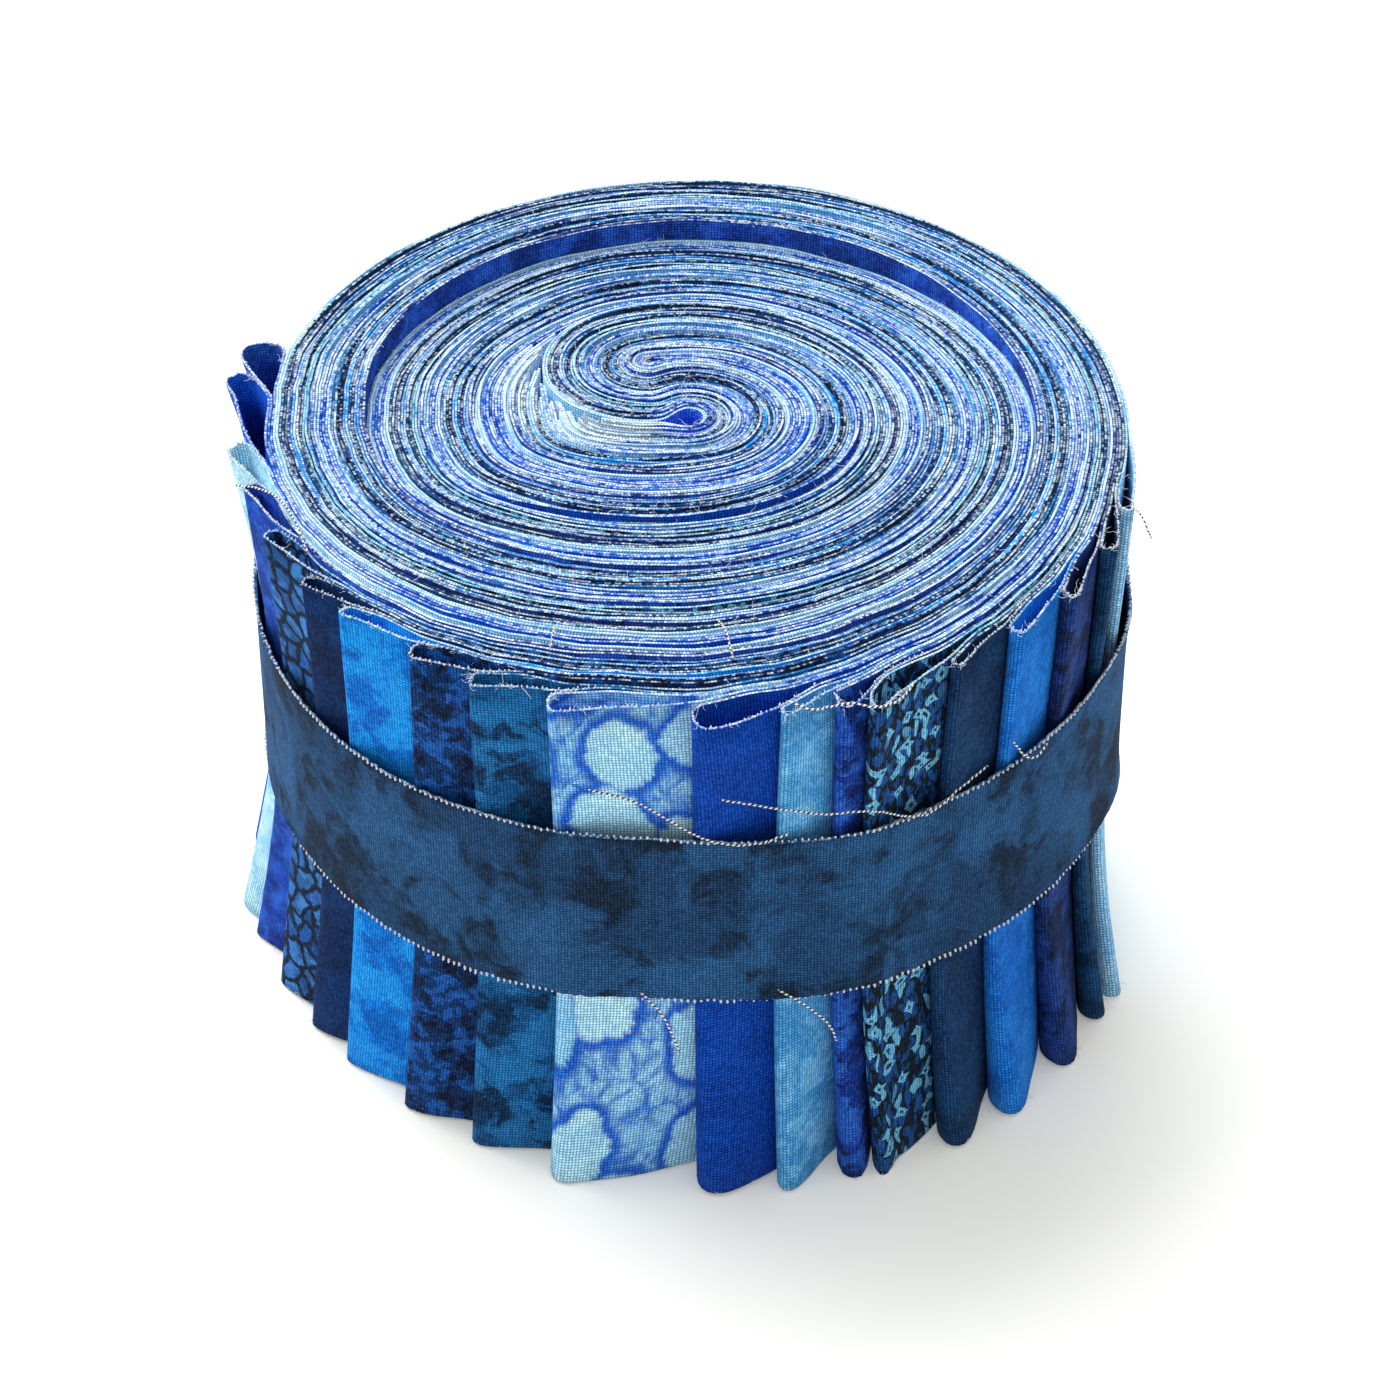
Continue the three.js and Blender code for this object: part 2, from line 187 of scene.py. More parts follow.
def layers_left(turn, first):
    """Thickness of the short arm's layers from layer number first on, whose cut ends come one by one."""
    total = np.zeros_like(turn, float)
    for layer in range(first, 2 * COUNT):
        total += 1 - ramp(turn, *(CUT_END[layer // 2] + CUT_FADE))
    return np.where(turn < 180, 0.0, total * LAYER)


def turn_edge(winding):
    turn = np.mod(winding, 360)
    return core_reach(turn) + layers_left(turn, 0) + STACK * np.floor(winding / 360)


def strips_over(turn):
    """Thickness of the strips that haven't reached their fold yet in the last turn."""
    total = np.zeros_like(turn, float)
    for fold in FOLD_TURN:
        total += 1 - ramp(turn, fold - FOLD_FADE, fold)
    return total * 2 * LAYER


print("the stack's edge lies at", np.round(turn_edge(np.array([0.0, 180.0, 360.0, 720.0])), 1), "mm")

# %% [markdown]
# Settled to a round rim
#
# A real roll is pressed round by hand. The ideal winding is scaled so that its rim comes out as a circle:
# where there is slack it gathers in the outer turns, and where the turns are too thick they are all pressed.


# %% Settling
SLACK_POWER, PRESS_POWER = 6.0, 0.7


def ray_to_rim(azimuth):
    along = unit(azimuth) @ CORE
    return -along + np.sqrt(along**2 + RIM_RADIUS**2 - CORE @ CORE)


def settle(azimuth, reach):
    turn = np.mod(CORE_AZIMUTH - azimuth, 360)
    edge = turn_edge(turn + 360 * WHOLE_TURNS) + strips_over(turn)
    give = ray_to_rim(azimuth) / edge - 1
    power = np.where(give > 0, SLACK_POWER, PRESS_POWER)
    settled = reach * (1 + give * (reach / edge) ** power)
    return unit(azimuth) * settled[..., None] + CORE


check = np.array([0.0, 90.0, 180.0, 270.0])
print("rim distances", np.round(ray_to_rim(CORE_AZIMUTH - check), 1), "mm at turns", check)

# %% [markdown]
# The two eyes
#
# Stiff cotton can't be folded flat round nothing, so each eye of the S stays open as a drop. Opening it
# layer by layer would make the layers cross. Instead the whole neighbourhood is pushed aside: outward
# round the nose of the drop, and to both sides of the seam behind it, less and less with the distance.

# %% Eyes
EYE_HOLES = ((-1, 1.55, 3.3), (1, 0.4, 2.5))
HOLE_FADE = 9.0


def push(distance):
    """How much of an eye's opening is felt at a distance from it."""
    return np.exp(-distance / HOLE_FADE) * np.clip(1 - distance / STACK, 0, 1)


def open_eyes(local):
    """Opens each eye into a drop: round at its nose, and drawn out to a tail along the seam behind it."""
    axis = unit(CORE_AZIMUTH)
    sideways = unit(CORE_AZIMUTH - 90)
    for side, radius, tail in EYE_HOLES:
        centre = axis * side * STACK / 2
        from_eye = local - centre
        near = np.maximum(np.hypot(*from_eye.T), 0.01)
        nose = from_eye / near[:, None] * (radius * push(near))[:, None]
        from_other = local + centre
        far = np.maximum(np.hypot(*from_other.T), 0.01)
        past = np.degrees(np.arccos(np.clip(from_other @ axis * side / far, -1, 1)))
        width = radius * (1 - ramp(np.radians(past) * STACK, 0, tail))
        aside = np.sign(far - STACK) * width * push(np.abs(far - STACK))
        behind = from_other / far[:, None] * aside[:, None]
        local = local + np.where((side * (from_eye @ sideways) < 0)[:, None], nose, behind)
    return local


trial = open_eyes(unit(np.array([CORE_AZIMUTH + 180, CORE_AZIMUTH])) * STACK / 2 + 0.01)
print("the middles of the eyes are pushed to", np.round(trial, 1).tolist(), "mm")

# %% [markdown]
# One layer's way through the roll
#
# A layer starts at its cut end in the short arm, passes round the front eye and the back eye, and then
# follows the long arm outward. The last stretch before the fold is left out here, because its shape
# changes with the height.

# %% Layers
CORE_STEP, LONG_STEPS = 4.0, ((0.0, 360.0, 3.5), (360.0, 660.0, 3.0), (660.0, 1100.0, 2.3))
FREE_END = 46.0


def round_eye(side, radius):
    """Half a circle about an eye of the S."""
    turn = np.arange(180, -0.01, -CORE_STEP)[1:-1]
    return unit(CORE_AZIMUTH) * side * STACK / 2 + unit(CORE_AZIMUTH + side * turn) * radius


def layer_way(layer, cut_end, last):
    """Points of a layer from its cut end to the winding angle last, and the winding angle at each."""
    across = (layer + 0.5) * LAYER
    short = np.append(np.arange(cut_end, 181, -CORE_STEP), 180.0)
    inside = layers_left(short, layer + 1) + LAYER / 2
    arm = unit(CORE_AZIMUTH - short) * (core_reach(short) + inside)[:, None]
    long_turn = np.concatenate([np.arange(low, min(high, last), step) for low, high, step in LONG_STEPS])
    wound = unit(CORE_AZIMUTH - long_turn) * (turn_edge(long_turn) + across)[:, None]
    local = open_eyes(np.concatenate([arm, round_eye(-1, STACK - across), round_eye(1, across), wound]))
    points = settle(azimuth_of(local), np.hypot(*local.T))
    winding = np.concatenate([np.zeros(len(points) - len(long_turn)), long_turn])
    return points, winding


trial, _ = layer_way(20, 280.0, 900.0)
print("a middle layer is", round(float(np.hypot(*np.diff(trial, axis=0).T).sum()), 1), "mm long", len(trial))

# %% [markdown]
# How the folded ends stand open
#
# The band presses the folds flat, and above and below it they spring open. Each fold lies on the strip
# before it, so the reach at a fold is the sum of what is open under it and its own loop. Working from
# the first strip to the last, what is left of the reach is the opening of the strip's own loop.

# %% Open ends
BAND_LOW, BAND_HIGH = 24.6, 46.1
FLARE_POWER = 1.35
CLOSE_SHARE = 1.7
CLOSE_RANGE = (6.0, 17.0)
NOSE = (0.2, 0.5)
LOOP_LOW_SHARE = 0.38
LEAN_FADE = (4.0, 40.0)
PRESSED, LEAST_OPENING = 0.8, 0.9
HELD_BEYOND, OPEN_SHARE, RISE_ARC = 0.6, 0.18, 1.5


def flare(height):
    """How open the ends stand at a height: 1 at the cut edges and 0 under the band."""
    above = np.clip((height - BAND_HIGH - HELD_BEYOND) / (STRIP_WIDTH - BAND_HIGH - HELD_BEYOND), 0, 1)
    below = np.clip((BAND_LOW - HELD_BEYOND - height) / (BAND_LOW - HELD_BEYOND), 0, 1)
    return above**FLARE_POWER, below**FLARE_POWER


def closing(arc, pitch):
    """The share of a loop's opening left at an arc length from its fold, under the strips laid over it."""
    length = np.clip(CLOSE_SHARE * pitch, *CLOSE_RANGE)
    return 1 - ramp(arc, OPEN_SHARE * length, length)


def openings(reach):
    found = []
    for strip in range(COUNT):
        lift = 0.0
        for under in range(strip):
            arc = math.radians(FOLD_MIDDLE[strip] - FOLD_MIDDLE[under]) * RIM_RADIUS
            lift += found[under] * float(closing(np.array(arc), PITCH[under]))
        found.append(max(reach[strip] - RIM_RADIUS - lift, LEAST_OPENING))
    return np.array(found)


OPEN_TOP, OPEN_BOTTOM = openings(REACH_TOP), openings(REACH_BOTTOM)
print("openings at the top", np.round(OPEN_TOP, 1), "and the bottom", np.round(OPEN_BOTTOM, 1))


def opening(strip, height):
    above, below = flare(height)
    pressed = (1 - above) * (1 - below) * PRESSED
    return pressed + OPEN_TOP[strip] * above + OPEN_BOTTOM[strip] * below


def fold_azimuth(strip, height):
    share = height / STRIP_WIDTH
    return FOLD_BOTTOM[strip] * (1 - share) + FOLD_TOP[strip] * share


def lift_below(strip, azimuth, height):
    """How far the strips under this one hold it off the roll."""
    total = np.zeros(np.broadcast(azimuth, height).shape)
    for under in range(strip):
        arc = np.radians(azimuth - fold_azimuth(under, height)) * RIM_RADIUS
        rise = np.sqrt(np.clip(1 - (1 - np.clip(arc / RISE_ARC, 0, 1)) ** 2, 0, 1))
        total += opening(under, height) * closing(arc, PITCH[under]) * rise
    return total


# %% [markdown]
# The cut edges
#
# No two layers end at quite the same height, so the spiral on top is made of lines of uneven width.
# At the back the outer layers also stand over two millimetres above the rest, as if the inside had been
# pushed down a little.

# %% Edges
HEIGHTS = np.array([0.0, 5.0, 11.0, 17.5, 24.0, 35.0, 47.0, 53.0, 58.5, 63.5])
SUNK, SUNK_AZIMUTH, SUNK_RAMP = 2.4, 105.0, 30.0
RING_LAYER, RING_TURN, OUTSIDE_TURN = 6, 580.0, 880.0
PROUD = {"layer": 20, "start": 95, "end": 250, "fade": 30, "height": 0.65}
EDGE_WAVES = ((61.0, 0.10), (27.0, 0.07), (11.0, 0.05))
EDGE_OFFSET = 0.26
WAIST, WAIST_POWER = 0.5, 6
rng = np.random.default_rng(63)


def edge_line(length):
    """An uneven cut along a layer: slow waves and a small offset of its own."""
    line = np.full(len(length), rng.uniform(-EDGE_OFFSET, EDGE_OFFSET))
    for wave, depth in EDGE_WAVES:
        line += depth * np.sin(length / wave * 2 * math.pi * rng.uniform(0.8, 1.2) + rng.uniform(0, 6.3))
    return line


def proud(winding, layer):
    """One blue layer stands out of the roll on part of its first turn."""
    if layer != PROUD["layer"]:
        return np.zeros(len(winding))
    rising = ramp(winding, PROUD["start"], PROUD["start"] + PROUD["fade"])
    falling = ramp(winding, PROUD["end"] - PROUD["fade"], PROUD["end"])
    return PROUD["height"] * rising * (1 - falling)


def sunk(points, winding, layer):
    """How far the inner turns have been pushed down at a point."""
    along = points @ unit(SUNK_AZIMUTH)
    in_ring = (winding > RING_TURN) & (layer >= RING_LAYER)
    inner = np.where(in_ring | (winding > OUTSIDE_TURN), 0.0, 1.0)
    return SUNK * ramp(along, -SUNK_RAMP, SUNK_RAMP) * inner


print("a cut edge wanders by", np.round(np.ptp(edge_line(np.linspace(0, 300, 200))), 2), "mm")

# %% [markdown]
# Shaders for cotton
#
# Real quilting cotton is a plain weave of about three threads to the millimetre, dyed or printed in
# layers. The parts of that look are node groups with named inputs, so each can be tried on its own: the
# weave, the clouds of dye, three prints, and the row of cut yarn ends on a raw edge.

# %% Node helpers
UV_NAME, SELVAGE, SHADED = "cloth", "selvage", "shaded"


def connect(tree, value, socket):
    """Links a socket to where a value comes from, or sets it to a plain value."""
    if isinstance(value, bpy.types.NodeSocket):
        tree.links.new(value, socket)
    else:
        socket.default_value = value


def add(tree, kind, inputs=None, **settings):
    """One node, with its settings, and its inputs set to values or linked to sockets."""
    node = tree.nodes.new(kind)
    for name, value in settings.items():
        setattr(node, name, value)
    for key, value in (inputs or {}).items():
        connect(tree, value, node.inputs[key])
    return node


def maths(tree, operation, *values, clamp=False):
    node = add(tree, "ShaderNodeMath", dict(enumerate(values)), operation=operation, use_clamp=clamp)
    return node.outputs[0]


def times(tree, a, b):
    return maths(tree, "MULTIPLY", a, b)


def plus(tree, a, b):
    return maths(tree, "ADD", a, b)


def vector(tree, operation, a, b=None):
    node = add(tree, "ShaderNodeVectorMath", {0: a}, operation=operation)
    if b is not None:
        connect(tree, b, node.inputs["Scale" if operation == "SCALE" else 1])
    return node.outputs[0]


def step(tree, value, low, high, start=0.0, end=1.0):
    """A soft step from start to end while value goes from low to high."""
    ports = {"Value": value, "From Min": low, "From Max": high, "To Min": start, "To Max": end}
    return add(tree, "ShaderNodeMapRange", ports, interpolation_type="SMOOTHSTEP").outputs["Result"]


def fall(tree, value, low, high):
    """A soft step down from 1 to 0."""
    return step(tree, value, low, high, 1.0, 0.0)


def blend(tree, factor, a, b, mode="MIX"):
    node = add(tree, "ShaderNodeMix", {0: factor, 6: a, 7: b}, data_type="RGBA", blend_type=mode)
    return node.outputs[2]


def noise(tree, place, scale, detail=2.0, rough=0.5, seed=0.0):
    ports = {"Vector": place, "W": seed, "Scale": scale, "Detail": detail, "Roughness": rough}
    return add(tree, "ShaderNodeTexNoise", ports, noise_dimensions="4D").outputs["Fac"]


def new_group(name, inputs, outputs):
    """A shader group with a place, a seed and more inputs: its tree, what comes in and what goes out."""
    tree = bpy.data.node_groups.new(name, "ShaderNodeTree")
    tree.interface.new_socket("Place", in_out="INPUT", socket_type="NodeSocketVector")
    for label, value in {"Seed": 0.0, **inputs}.items():
        kind = "NodeSocketColor" if isinstance(value, tuple) else "NodeSocketFloat"
        tree.interface.new_socket(label, in_out="INPUT", socket_type=kind).default_value = value
    for label in outputs:
        kind = "NodeSocketColor" if label == "Color" else "NodeSocketFloat"
        tree.interface.new_socket(label, in_out="OUTPUT", socket_type=kind)
    start, end = tree.nodes.new("NodeGroupInput"), tree.nodes.new("NodeGroupOutput")
    return tree, start.outputs, end.inputs


def give(tree, ends, **results):
    """Links a group's results to its outputs."""
    for label, socket in results.items():
        tree.links.new(socket, ends[label])
    print(tree.name, "has", len(tree.nodes), "nodes")


def paint(code):
    """A linear colour from its six-figure screen code."""
    parts = [int(code[i : i + 2], 16) / 255 for i in (0, 2, 4)]
    return tuple(c / 12.92 if c < 0.04045 else ((c + 0.055) / 1.055) ** 2.4 for c in parts) + (1.0,)


print("pure red is", paint("ff0000"))

# %% [markdown]
# Plain weave
#
# Quilting cotton is the simplest weave there is: every thread goes over one and under the next. A texture
# of bricks could fake it, but two sines make it exactly: where their product is positive the thread across
# is on top, and elsewhere the thread along. Every thread also has its own depth of dye and its slubs.


# %% Plain weave
def point(tree, x, y=0.0, z=0.0):
    """A vector made of numbers or sockets."""
    return add(tree, "ShaderNodeCombineXYZ", {0: x, 1: y, 2: z}).outputs[0]


def parts(tree, place):
    """The x, y and z of a vector."""
    return add(tree, "ShaderNodeSeparateXYZ", {0: place}).outputs


WEAVE_PITCH = 0.34
weave, into, out = new_group("plain_weave", {"Pitch": WEAVE_PITCH * MM}, ("Height", "Thread", "Crossing"))
wobble = noise(weave, into["Place"], 700.0, 1.0, 0.5, into["Seed"])
slip = point(weave, times(weave, wobble, 0.00022), times(weave, wobble, -0.00018))
shaken = vector(weave, "ADD", into["Place"], slip)
counted = vector(weave, "SCALE", shaken, maths(weave, "DIVIDE", 1.0, into["Pitch"]))
x, y, _ = parts(weave, counted)
along = maths(weave, "SINE", times(weave, x, math.pi))
across = maths(weave, "SINE", times(weave, y, math.pi))
product = times(weave, along, across)
on_top = maths(weave, "GREATER_THAN", product, 0.0)
bump = maths(weave, "POWER", maths(weave, "ABSOLUTE", product), 0.55)
column = maths(weave, "FLOOR", x)
row = maths(weave, "FLOOR", y)
row_place = point(weave, times(weave, x, 0.02), row)
column_place = point(weave, column, times(weave, y, 0.02))
thread_row = noise(weave, row_place, 0.9, 1.0, 0.5, into["Seed"])
thread_column = noise(weave, column_place, 0.9, 1.0, 0.5, into["Seed"])
picked = add(weave, "ShaderNodeMix", {0: on_top, 2: thread_row, 3: thread_column}).outputs[0]
crossing_place = {0: point(weave, column, row, into["Seed"])}
crossing = add(weave, "ShaderNodeTexWhiteNoise", crossing_place, noise_dimensions="3D").outputs[0]
give(weave, out, Height=bump, Thread=picked, Crossing=crossing)
print(round(1 / WEAVE_PITCH, 1), "threads to the millimetre")

# %% [markdown]
# Clouds of dye
#
# Hand-dyed cotton has clouds with soft and hard borders, where the dye pooled in the folds of the wet
# cloth. One noise would look like smoke, so its place is first bent by another noise, and a soft step
# with a chosen hardness decides how sharply the dye stopped.


# %% Clouds of dye
def bent(tree, into, scale, amount):
    """The place counted in figures of the print and pushed about by a noise, so that they come out wavy."""
    place = vector(tree, "SCALE", into["Place"], maths(tree, "DIVIDE", 1.0, into["Size"]))
    ports = {"Vector": place, "W": into["Seed"], "Scale": scale, "Detail": 2.0}
    pushed = add(tree, "ShaderNodeTexNoise", ports, noise_dimensions="4D").outputs["Color"]
    centred = vector(tree, "SUBTRACT", pushed, (0.5, 0.5, 0.5))
    return vector(tree, "ADD", place, vector(tree, "SCALE", centred, amount))


clouds, into, out = new_group("dye_clouds", {"Size": 0.006, "Hardness": 0.5}, ("Cloud",))
place = bent(clouds, into, 1.3, 1.6)
base = noise(clouds, place, 1.0, 4.0, 0.62, into["Seed"])
softness = maths(clouds, "SUBTRACT", 0.2, times(clouds, into["Hardness"], 0.16))
begins = maths(clouds, "SUBTRACT", 0.5, softness)
fills = plus(clouds, 0.5, softness)
give(clouds, out, Cloud=step(clouds, base, begins, fills))

# %% [markdown]
# Petals
#
# The widest strip shows pale ovals with cobalt outlines, and cobalt streaks run in between them. Painting
# them would take a picture, so they come from scattered cells: near a cell's middle the cloth stays pale,
# a ring round it is the outline, and a noise drawn round the middle by its angle makes the streaks.


# %% Petals
def cells(tree, place, randomness, feature="F1", exponent=None):
    """Scattered cells on the flat cloth; an exponent under one makes their middles pointed."""
    ports = {"Vector": place, "Scale": 1.0, "Randomness": randomness}
    settings = {"voronoi_dimensions": "2D", "feature": feature}
    if exponent:
        ports["Exponent"] = exponent
        settings["distance"] = "MINKOWSKI"
    return add(tree, "ShaderNodeTexVoronoi", ports, **settings).outputs


def lot(tree, cell):
    """One random number for each cell."""
    return add(tree, "ShaderNodeSeparateColor", {0: cell["Color"]}).outputs[0]


petals, into, out = new_group("petal_print", {"Size": 0.008}, ("Outline", "Streak", "Leaf"))
place = bent(petals, into, 1.1, 0.65)
place = vector(petals, "MULTIPLY", place, (1.0, 0.72, 0.0))
cell = cells(petals, place, 0.8)
border = cells(petals, place, 0.8, "DISTANCE_TO_EDGE")["Distance"]
x, y, _ = parts(petals, vector(petals, "SUBTRACT", place, cell["Position"]))
angle = maths(petals, "ARCTAN2", y, x)
rays = point(petals, times(petals, angle, 2.6), times(petals, cell["Distance"], 1.4))
streak = noise(petals, rays, 1.7, 3.0, 0.6, into["Seed"])
ragged = times(petals, maths(petals, "SUBTRACT", streak, 0.5), 0.12)
oval = plus(petals, cell["Distance"], ragged)
rim = times(petals, step(petals, oval, 0.34, 0.41), fall(petals, oval, 0.43, 0.54))
seam = times(petals, fall(petals, border, 0.0, 0.05), 0.35)
between = times(petals, step(petals, oval, 0.28, 0.5), step(petals, streak, 0.4, 0.62))
filled = times(petals, step(petals, oval, 0.42, 0.5), 0.7)
leaf = maths(petals, "MAXIMUM", step(petals, lot(petals, cell), 0.8, 0.84), filled)
give(petals, out, Outline=maths(petals, "MAXIMUM", rim, seam), Streak=between, Leaf=leaf)

# %% [markdown]
# Pebbles
#
# One strip at the left has blue pebbles on a black ground, like a dry wall. The distance to a cell's edge
# is exactly what is needed: far from an edge there is a pebble, and near it the ground shows.

# %% Pebbles
pebbles, into, out = new_group("pebble_print", {"Size": 0.0024}, ("Pebble", "Shade"))
place = bent(pebbles, into, 1.6, 0.7)
border = cells(pebbles, place, 0.95, "DISTANCE_TO_EDGE")["Distance"]
give(pebbles, out, Pebble=step(pebbles, border, 0.07, 0.2), Shade=lot(pebbles, cells(pebbles, place, 0.95)))

# %% [markdown]
# Leaves and small flowers
#
# Another strip is crowded with small pale leaves and flowers on black. Stretched cells give leaves that
# all lean one way, and a pointed distance turns other cells' middles into small stars.

# %% Leaves
leaves, into, out = new_group("leaf_print", {"Size": 0.004}, ("Leaf", "Flower", "Tone"))
place = bent(leaves, into, 0.8, 1.3)
star = cells(leaves, place, 0.9, exponent=0.8)["Distance"]
leaning = {0: place, "Rotation": (0, 0, 0.6), "Scale": (2.6, 1.0, 1.0)}
blade = cells(leaves, add(leaves, "ShaderNodeMapping", leaning).outputs[0], 0.8)
flower = times(leaves, fall(leaves, star, 0.26, 0.34), step(leaves, star, 0.07, 0.13))
shape = fall(leaves, blade["Distance"], 0.26, 0.36)
give(leaves, out, Leaf=shape, Flower=flower, Tone=lot(leaves, blade))

# %% [markdown]
# The raw edge
#
# A cut edge of cotton is a row of yarn ends. Dye hardly reaches the middle of a yarn, so many ends are
# pale, and they stay pale or dark for some millimetres where the print was pale or dark. Modelling half a
# million yarn ends is out of reach, so the thin rim of the cloth gets its own material: a sine along the
# edge for the ends, and three random shares, slow, fast and yarn by yarn, for how pale they are. The same
# sine paints shade between the ends and a highlight on their tops.

# %% Raw edge
dyes = {"Dye": (0.1, 0.2, 0.6, 1), "Dark": (0.02, 0.03, 0.1, 1), "Pale": (0.8, 0.85, 0.95, 1)}
ports = {"Pitch": WEAVE_PITCH * MM, "Pale share": 0.4, **dyes}
raw, into, out = new_group("raw_edge", ports, ("Color", "Height"))
run = parts(raw, into["Place"])[0]
ends = maths(raw, "DIVIDE", run, into["Pitch"])
wave = maths(raw, "SINE", times(raw, ends, math.pi))
dot = maths(raw, "POWER", maths(raw, "ABSOLUTE", wave), 0.6)
number = {"W": plus(raw, maths(raw, "FLOOR", ends), into["Seed"])}
yarn = add(raw, "ShaderNodeTexWhiteNoise", number, noise_dimensions="1D").outputs[0]
line = point(raw, run, into["Seed"])
slow = noise(raw, line, 85.0, 3.0, 0.6, into["Seed"])
fast = noise(raw, line, 620.0, 2.0, 0.6, into["Seed"])
paleness = into["Pale share"]
for share, swing in ((slow, 3.4), (yarn, 0.8), (fast, 1.2)):
    change = times(raw, maths(raw, "SUBTRACT", share, 0.5), swing)
    paleness = plus(raw, paleness, change)
paleness = maths(raw, "ADD", paleness, 0.0, clamp=True)
dark_share = times(raw, fall(raw, fast, 0.36, 0.52), 0.75)
tint = blend(raw, paleness, blend(raw, dark_share, into["Dye"], into["Dark"]), into["Pale"])
# painted shade between the yarn ends, and a painted highlight of up to 1.16 times on their tops
hollow = fall(raw, dot, 0.1, 0.8)
shadow = maths(raw, "SUBTRACT", 1.16, times(raw, hollow, 0.9))
give(raw, out, Color=blend(raw, 1.0, tint, shadow, "MULTIPLY"), Height=dot)

# %% [markdown]
# The fabrics
#
# One row for each fabric: its ground colour, two more colours for clouds or print, the kind of print,
# the size of its figures in millimetres, how strong they are, and how pale its cut edge looks.

# %% Fabrics
FABRICS = {
    # name: ground, second, third, kind, size, strength, pale share of the edge
    "indigo": ("1840a4", "2a64cc", "101f58", "clouds", 7, 0.6, 0.42),
    "royal": ("0842b8", "1868dc", "062a84", "clouds", 9, 0.4, 0.38),
    "aqua": ("a0daf4", "5eb0e4", "d4f2fc", "clouds", 6, 0.6, 0.62),
    "violet": ("183ca8", "101f5c", "2e66d4", "clouds", 5, 0.65, 0.5),
    "pebble": ("121c32", "468cd8", "1e58b0", "pebbles", 2.5, 0.9, 0.28),
    "navy": ("0a2452", "103a74", "06122c", "clouds", 6, 0.5, 0.2),
    "azure": ("0478dc", "20a0f6", "0452b0", "clouds", 5, 0.7, 0.42),
    "night": ("0c3266", "080f2a", "1c56a8", "clouds", 3.2, 0.95, 0.2),
    "teal": ("104a80", "2274b4", "071122", "clouds", 6, 0.8, 0.25),
    "petal": ("b6e4f6", "1058c8", "60b0e8", "petals", 9.5, 0.95, 0.6),
    "ultramarine": ("02389c", "0650c4", "012674", "clouds", 9, 0.3, 0.42),
    "sky": ("4a9ad2", "2e7cc0", "80c4ec", "clouds", 4.5, 0.6, 0.6),
    "batik": ("123090", "2a60c4", "081450", "clouds", 3.6, 0.85, 0.45),
    "leaf": ("10181f", "70b8dc", "1c4c90", "leaves", 3.2, 0.95, 0.28),
    "slate": ("122f58", "1a4670", "0a1c38", "clouds", 8, 0.5, 0.3),
    "bright": ("1068cc", "2c92ea", "0a4ca2", "clouds", 7, 0.5, 0.48),
    "purple": ("142456", "22408a", "0a1130", "clouds", 4, 0.8, 0.3),
    "deep": ("0e2f54", "184c7a", "061830", "clouds", 6, 0.6, 0.26),
    "pale": ("86c0ea", "5ca4dc", "b4daf4", "clouds", 6, 0.5, 0.62),
    "band": ("1b3c62", "295a8c", "0a0d14", "clouds", 14, 0.75, 0.25),
}
EYE_LINING = "0a58dc"
PALE_YARN, WORN_AND_HIGHLIT_YARN, CUT_YARN = "dcf2fc", "5cb2f4", "d3e9f7"
# the share by which the crowns of the threads are tinted towards the yarn colours above: partly wear, partly
# painted highlight
WEAR_AND_HIGHLIGHT, PALE_CLOTH = 0.22, 0.6
print(len(FABRICS), "fabrics, paint('ffffff') is", paint("ffffff"))

# %% [markdown]
# Dye and print together
#
# This is the colour of the flat cloth, before any thread is drawn. Each kind of print adds its figures to
# the clouds of dye with plain blends, which keeps all nineteen cottons of one family.


# %% Dye and print
FINER = 0.55


def use(tree, group, **inputs):
    """One of our groups, with its named inputs set to values or linked."""
    node = add(tree, "ShaderNodeGroup", node_tree=group)
    for label, value in inputs.items():
        connect(tree, value, node.inputs[label.replace("_", " ")])
    return node.outputs


def tinted(tree, mask, share, colour, other):
    """The colour with some of the other where a mask says so."""
    return blend(tree, times(tree, mask, share), colour, other)


def dyed(tree, place, number, ground, second, third, kind, size, strength):
    """The fabric's colour before the weave shades it."""
    seed = number * 3.7
    cloud = use(tree, clouds, Place=place, Size=size * MM, Seed=seed, Hardness=strength)["Cloud"]
    if kind == "clouds":
        small = use(tree, clouds, Place=place, Size=size * FINER * MM, Seed=seed + 11, Hardness=strength)
        left = step(tree, cloud, 0.2, 0.8, 1.0, 0.25)
        colour = tinted(tree, cloud, strength, ground, second)
        return tinted(tree, times(tree, small["Cloud"], left), strength, colour, third)
    if kind == "petals":
        figure = use(tree, petals, Place=place, Size=size * MM, Seed=seed)
        colour = tinted(tree, cloud, 0.35, ground, third)
        colour = tinted(tree, figure["Leaf"], 0.6, colour, third)
        colour = tinted(tree, figure["Streak"], 0.8, colour, second)
        return tinted(tree, figure["Outline"], strength, colour, second)
    if kind == "pebbles":
        figure = use(tree, pebbles, Place=place, Size=size * MM, Seed=seed)
        colour = tinted(tree, cloud, 0.5, blend(tree, figure["Shade"], third, second), ground)
        return tinted(tree, figure["Pebble"], strength, ground, colour)
    figure = use(tree, leaves, Place=place, Size=size * MM, Seed=seed)
    small = use(tree, leaves, Place=place, Size=size * FINER * MM, Seed=seed + 5)
    light = blend(tree, step(tree, figure["Tone"], 0.5, 0.85), third, second)
    colour = tinted(tree, small["Leaf"], 0.75, ground, third)
    colour = tinted(tree, figure["Leaf"], strength, colour, light)
    return tinted(tree, figure["Flower"], strength, colour, second)


print("kinds of print:", sorted({row[3] for row in FABRICS.values()}))
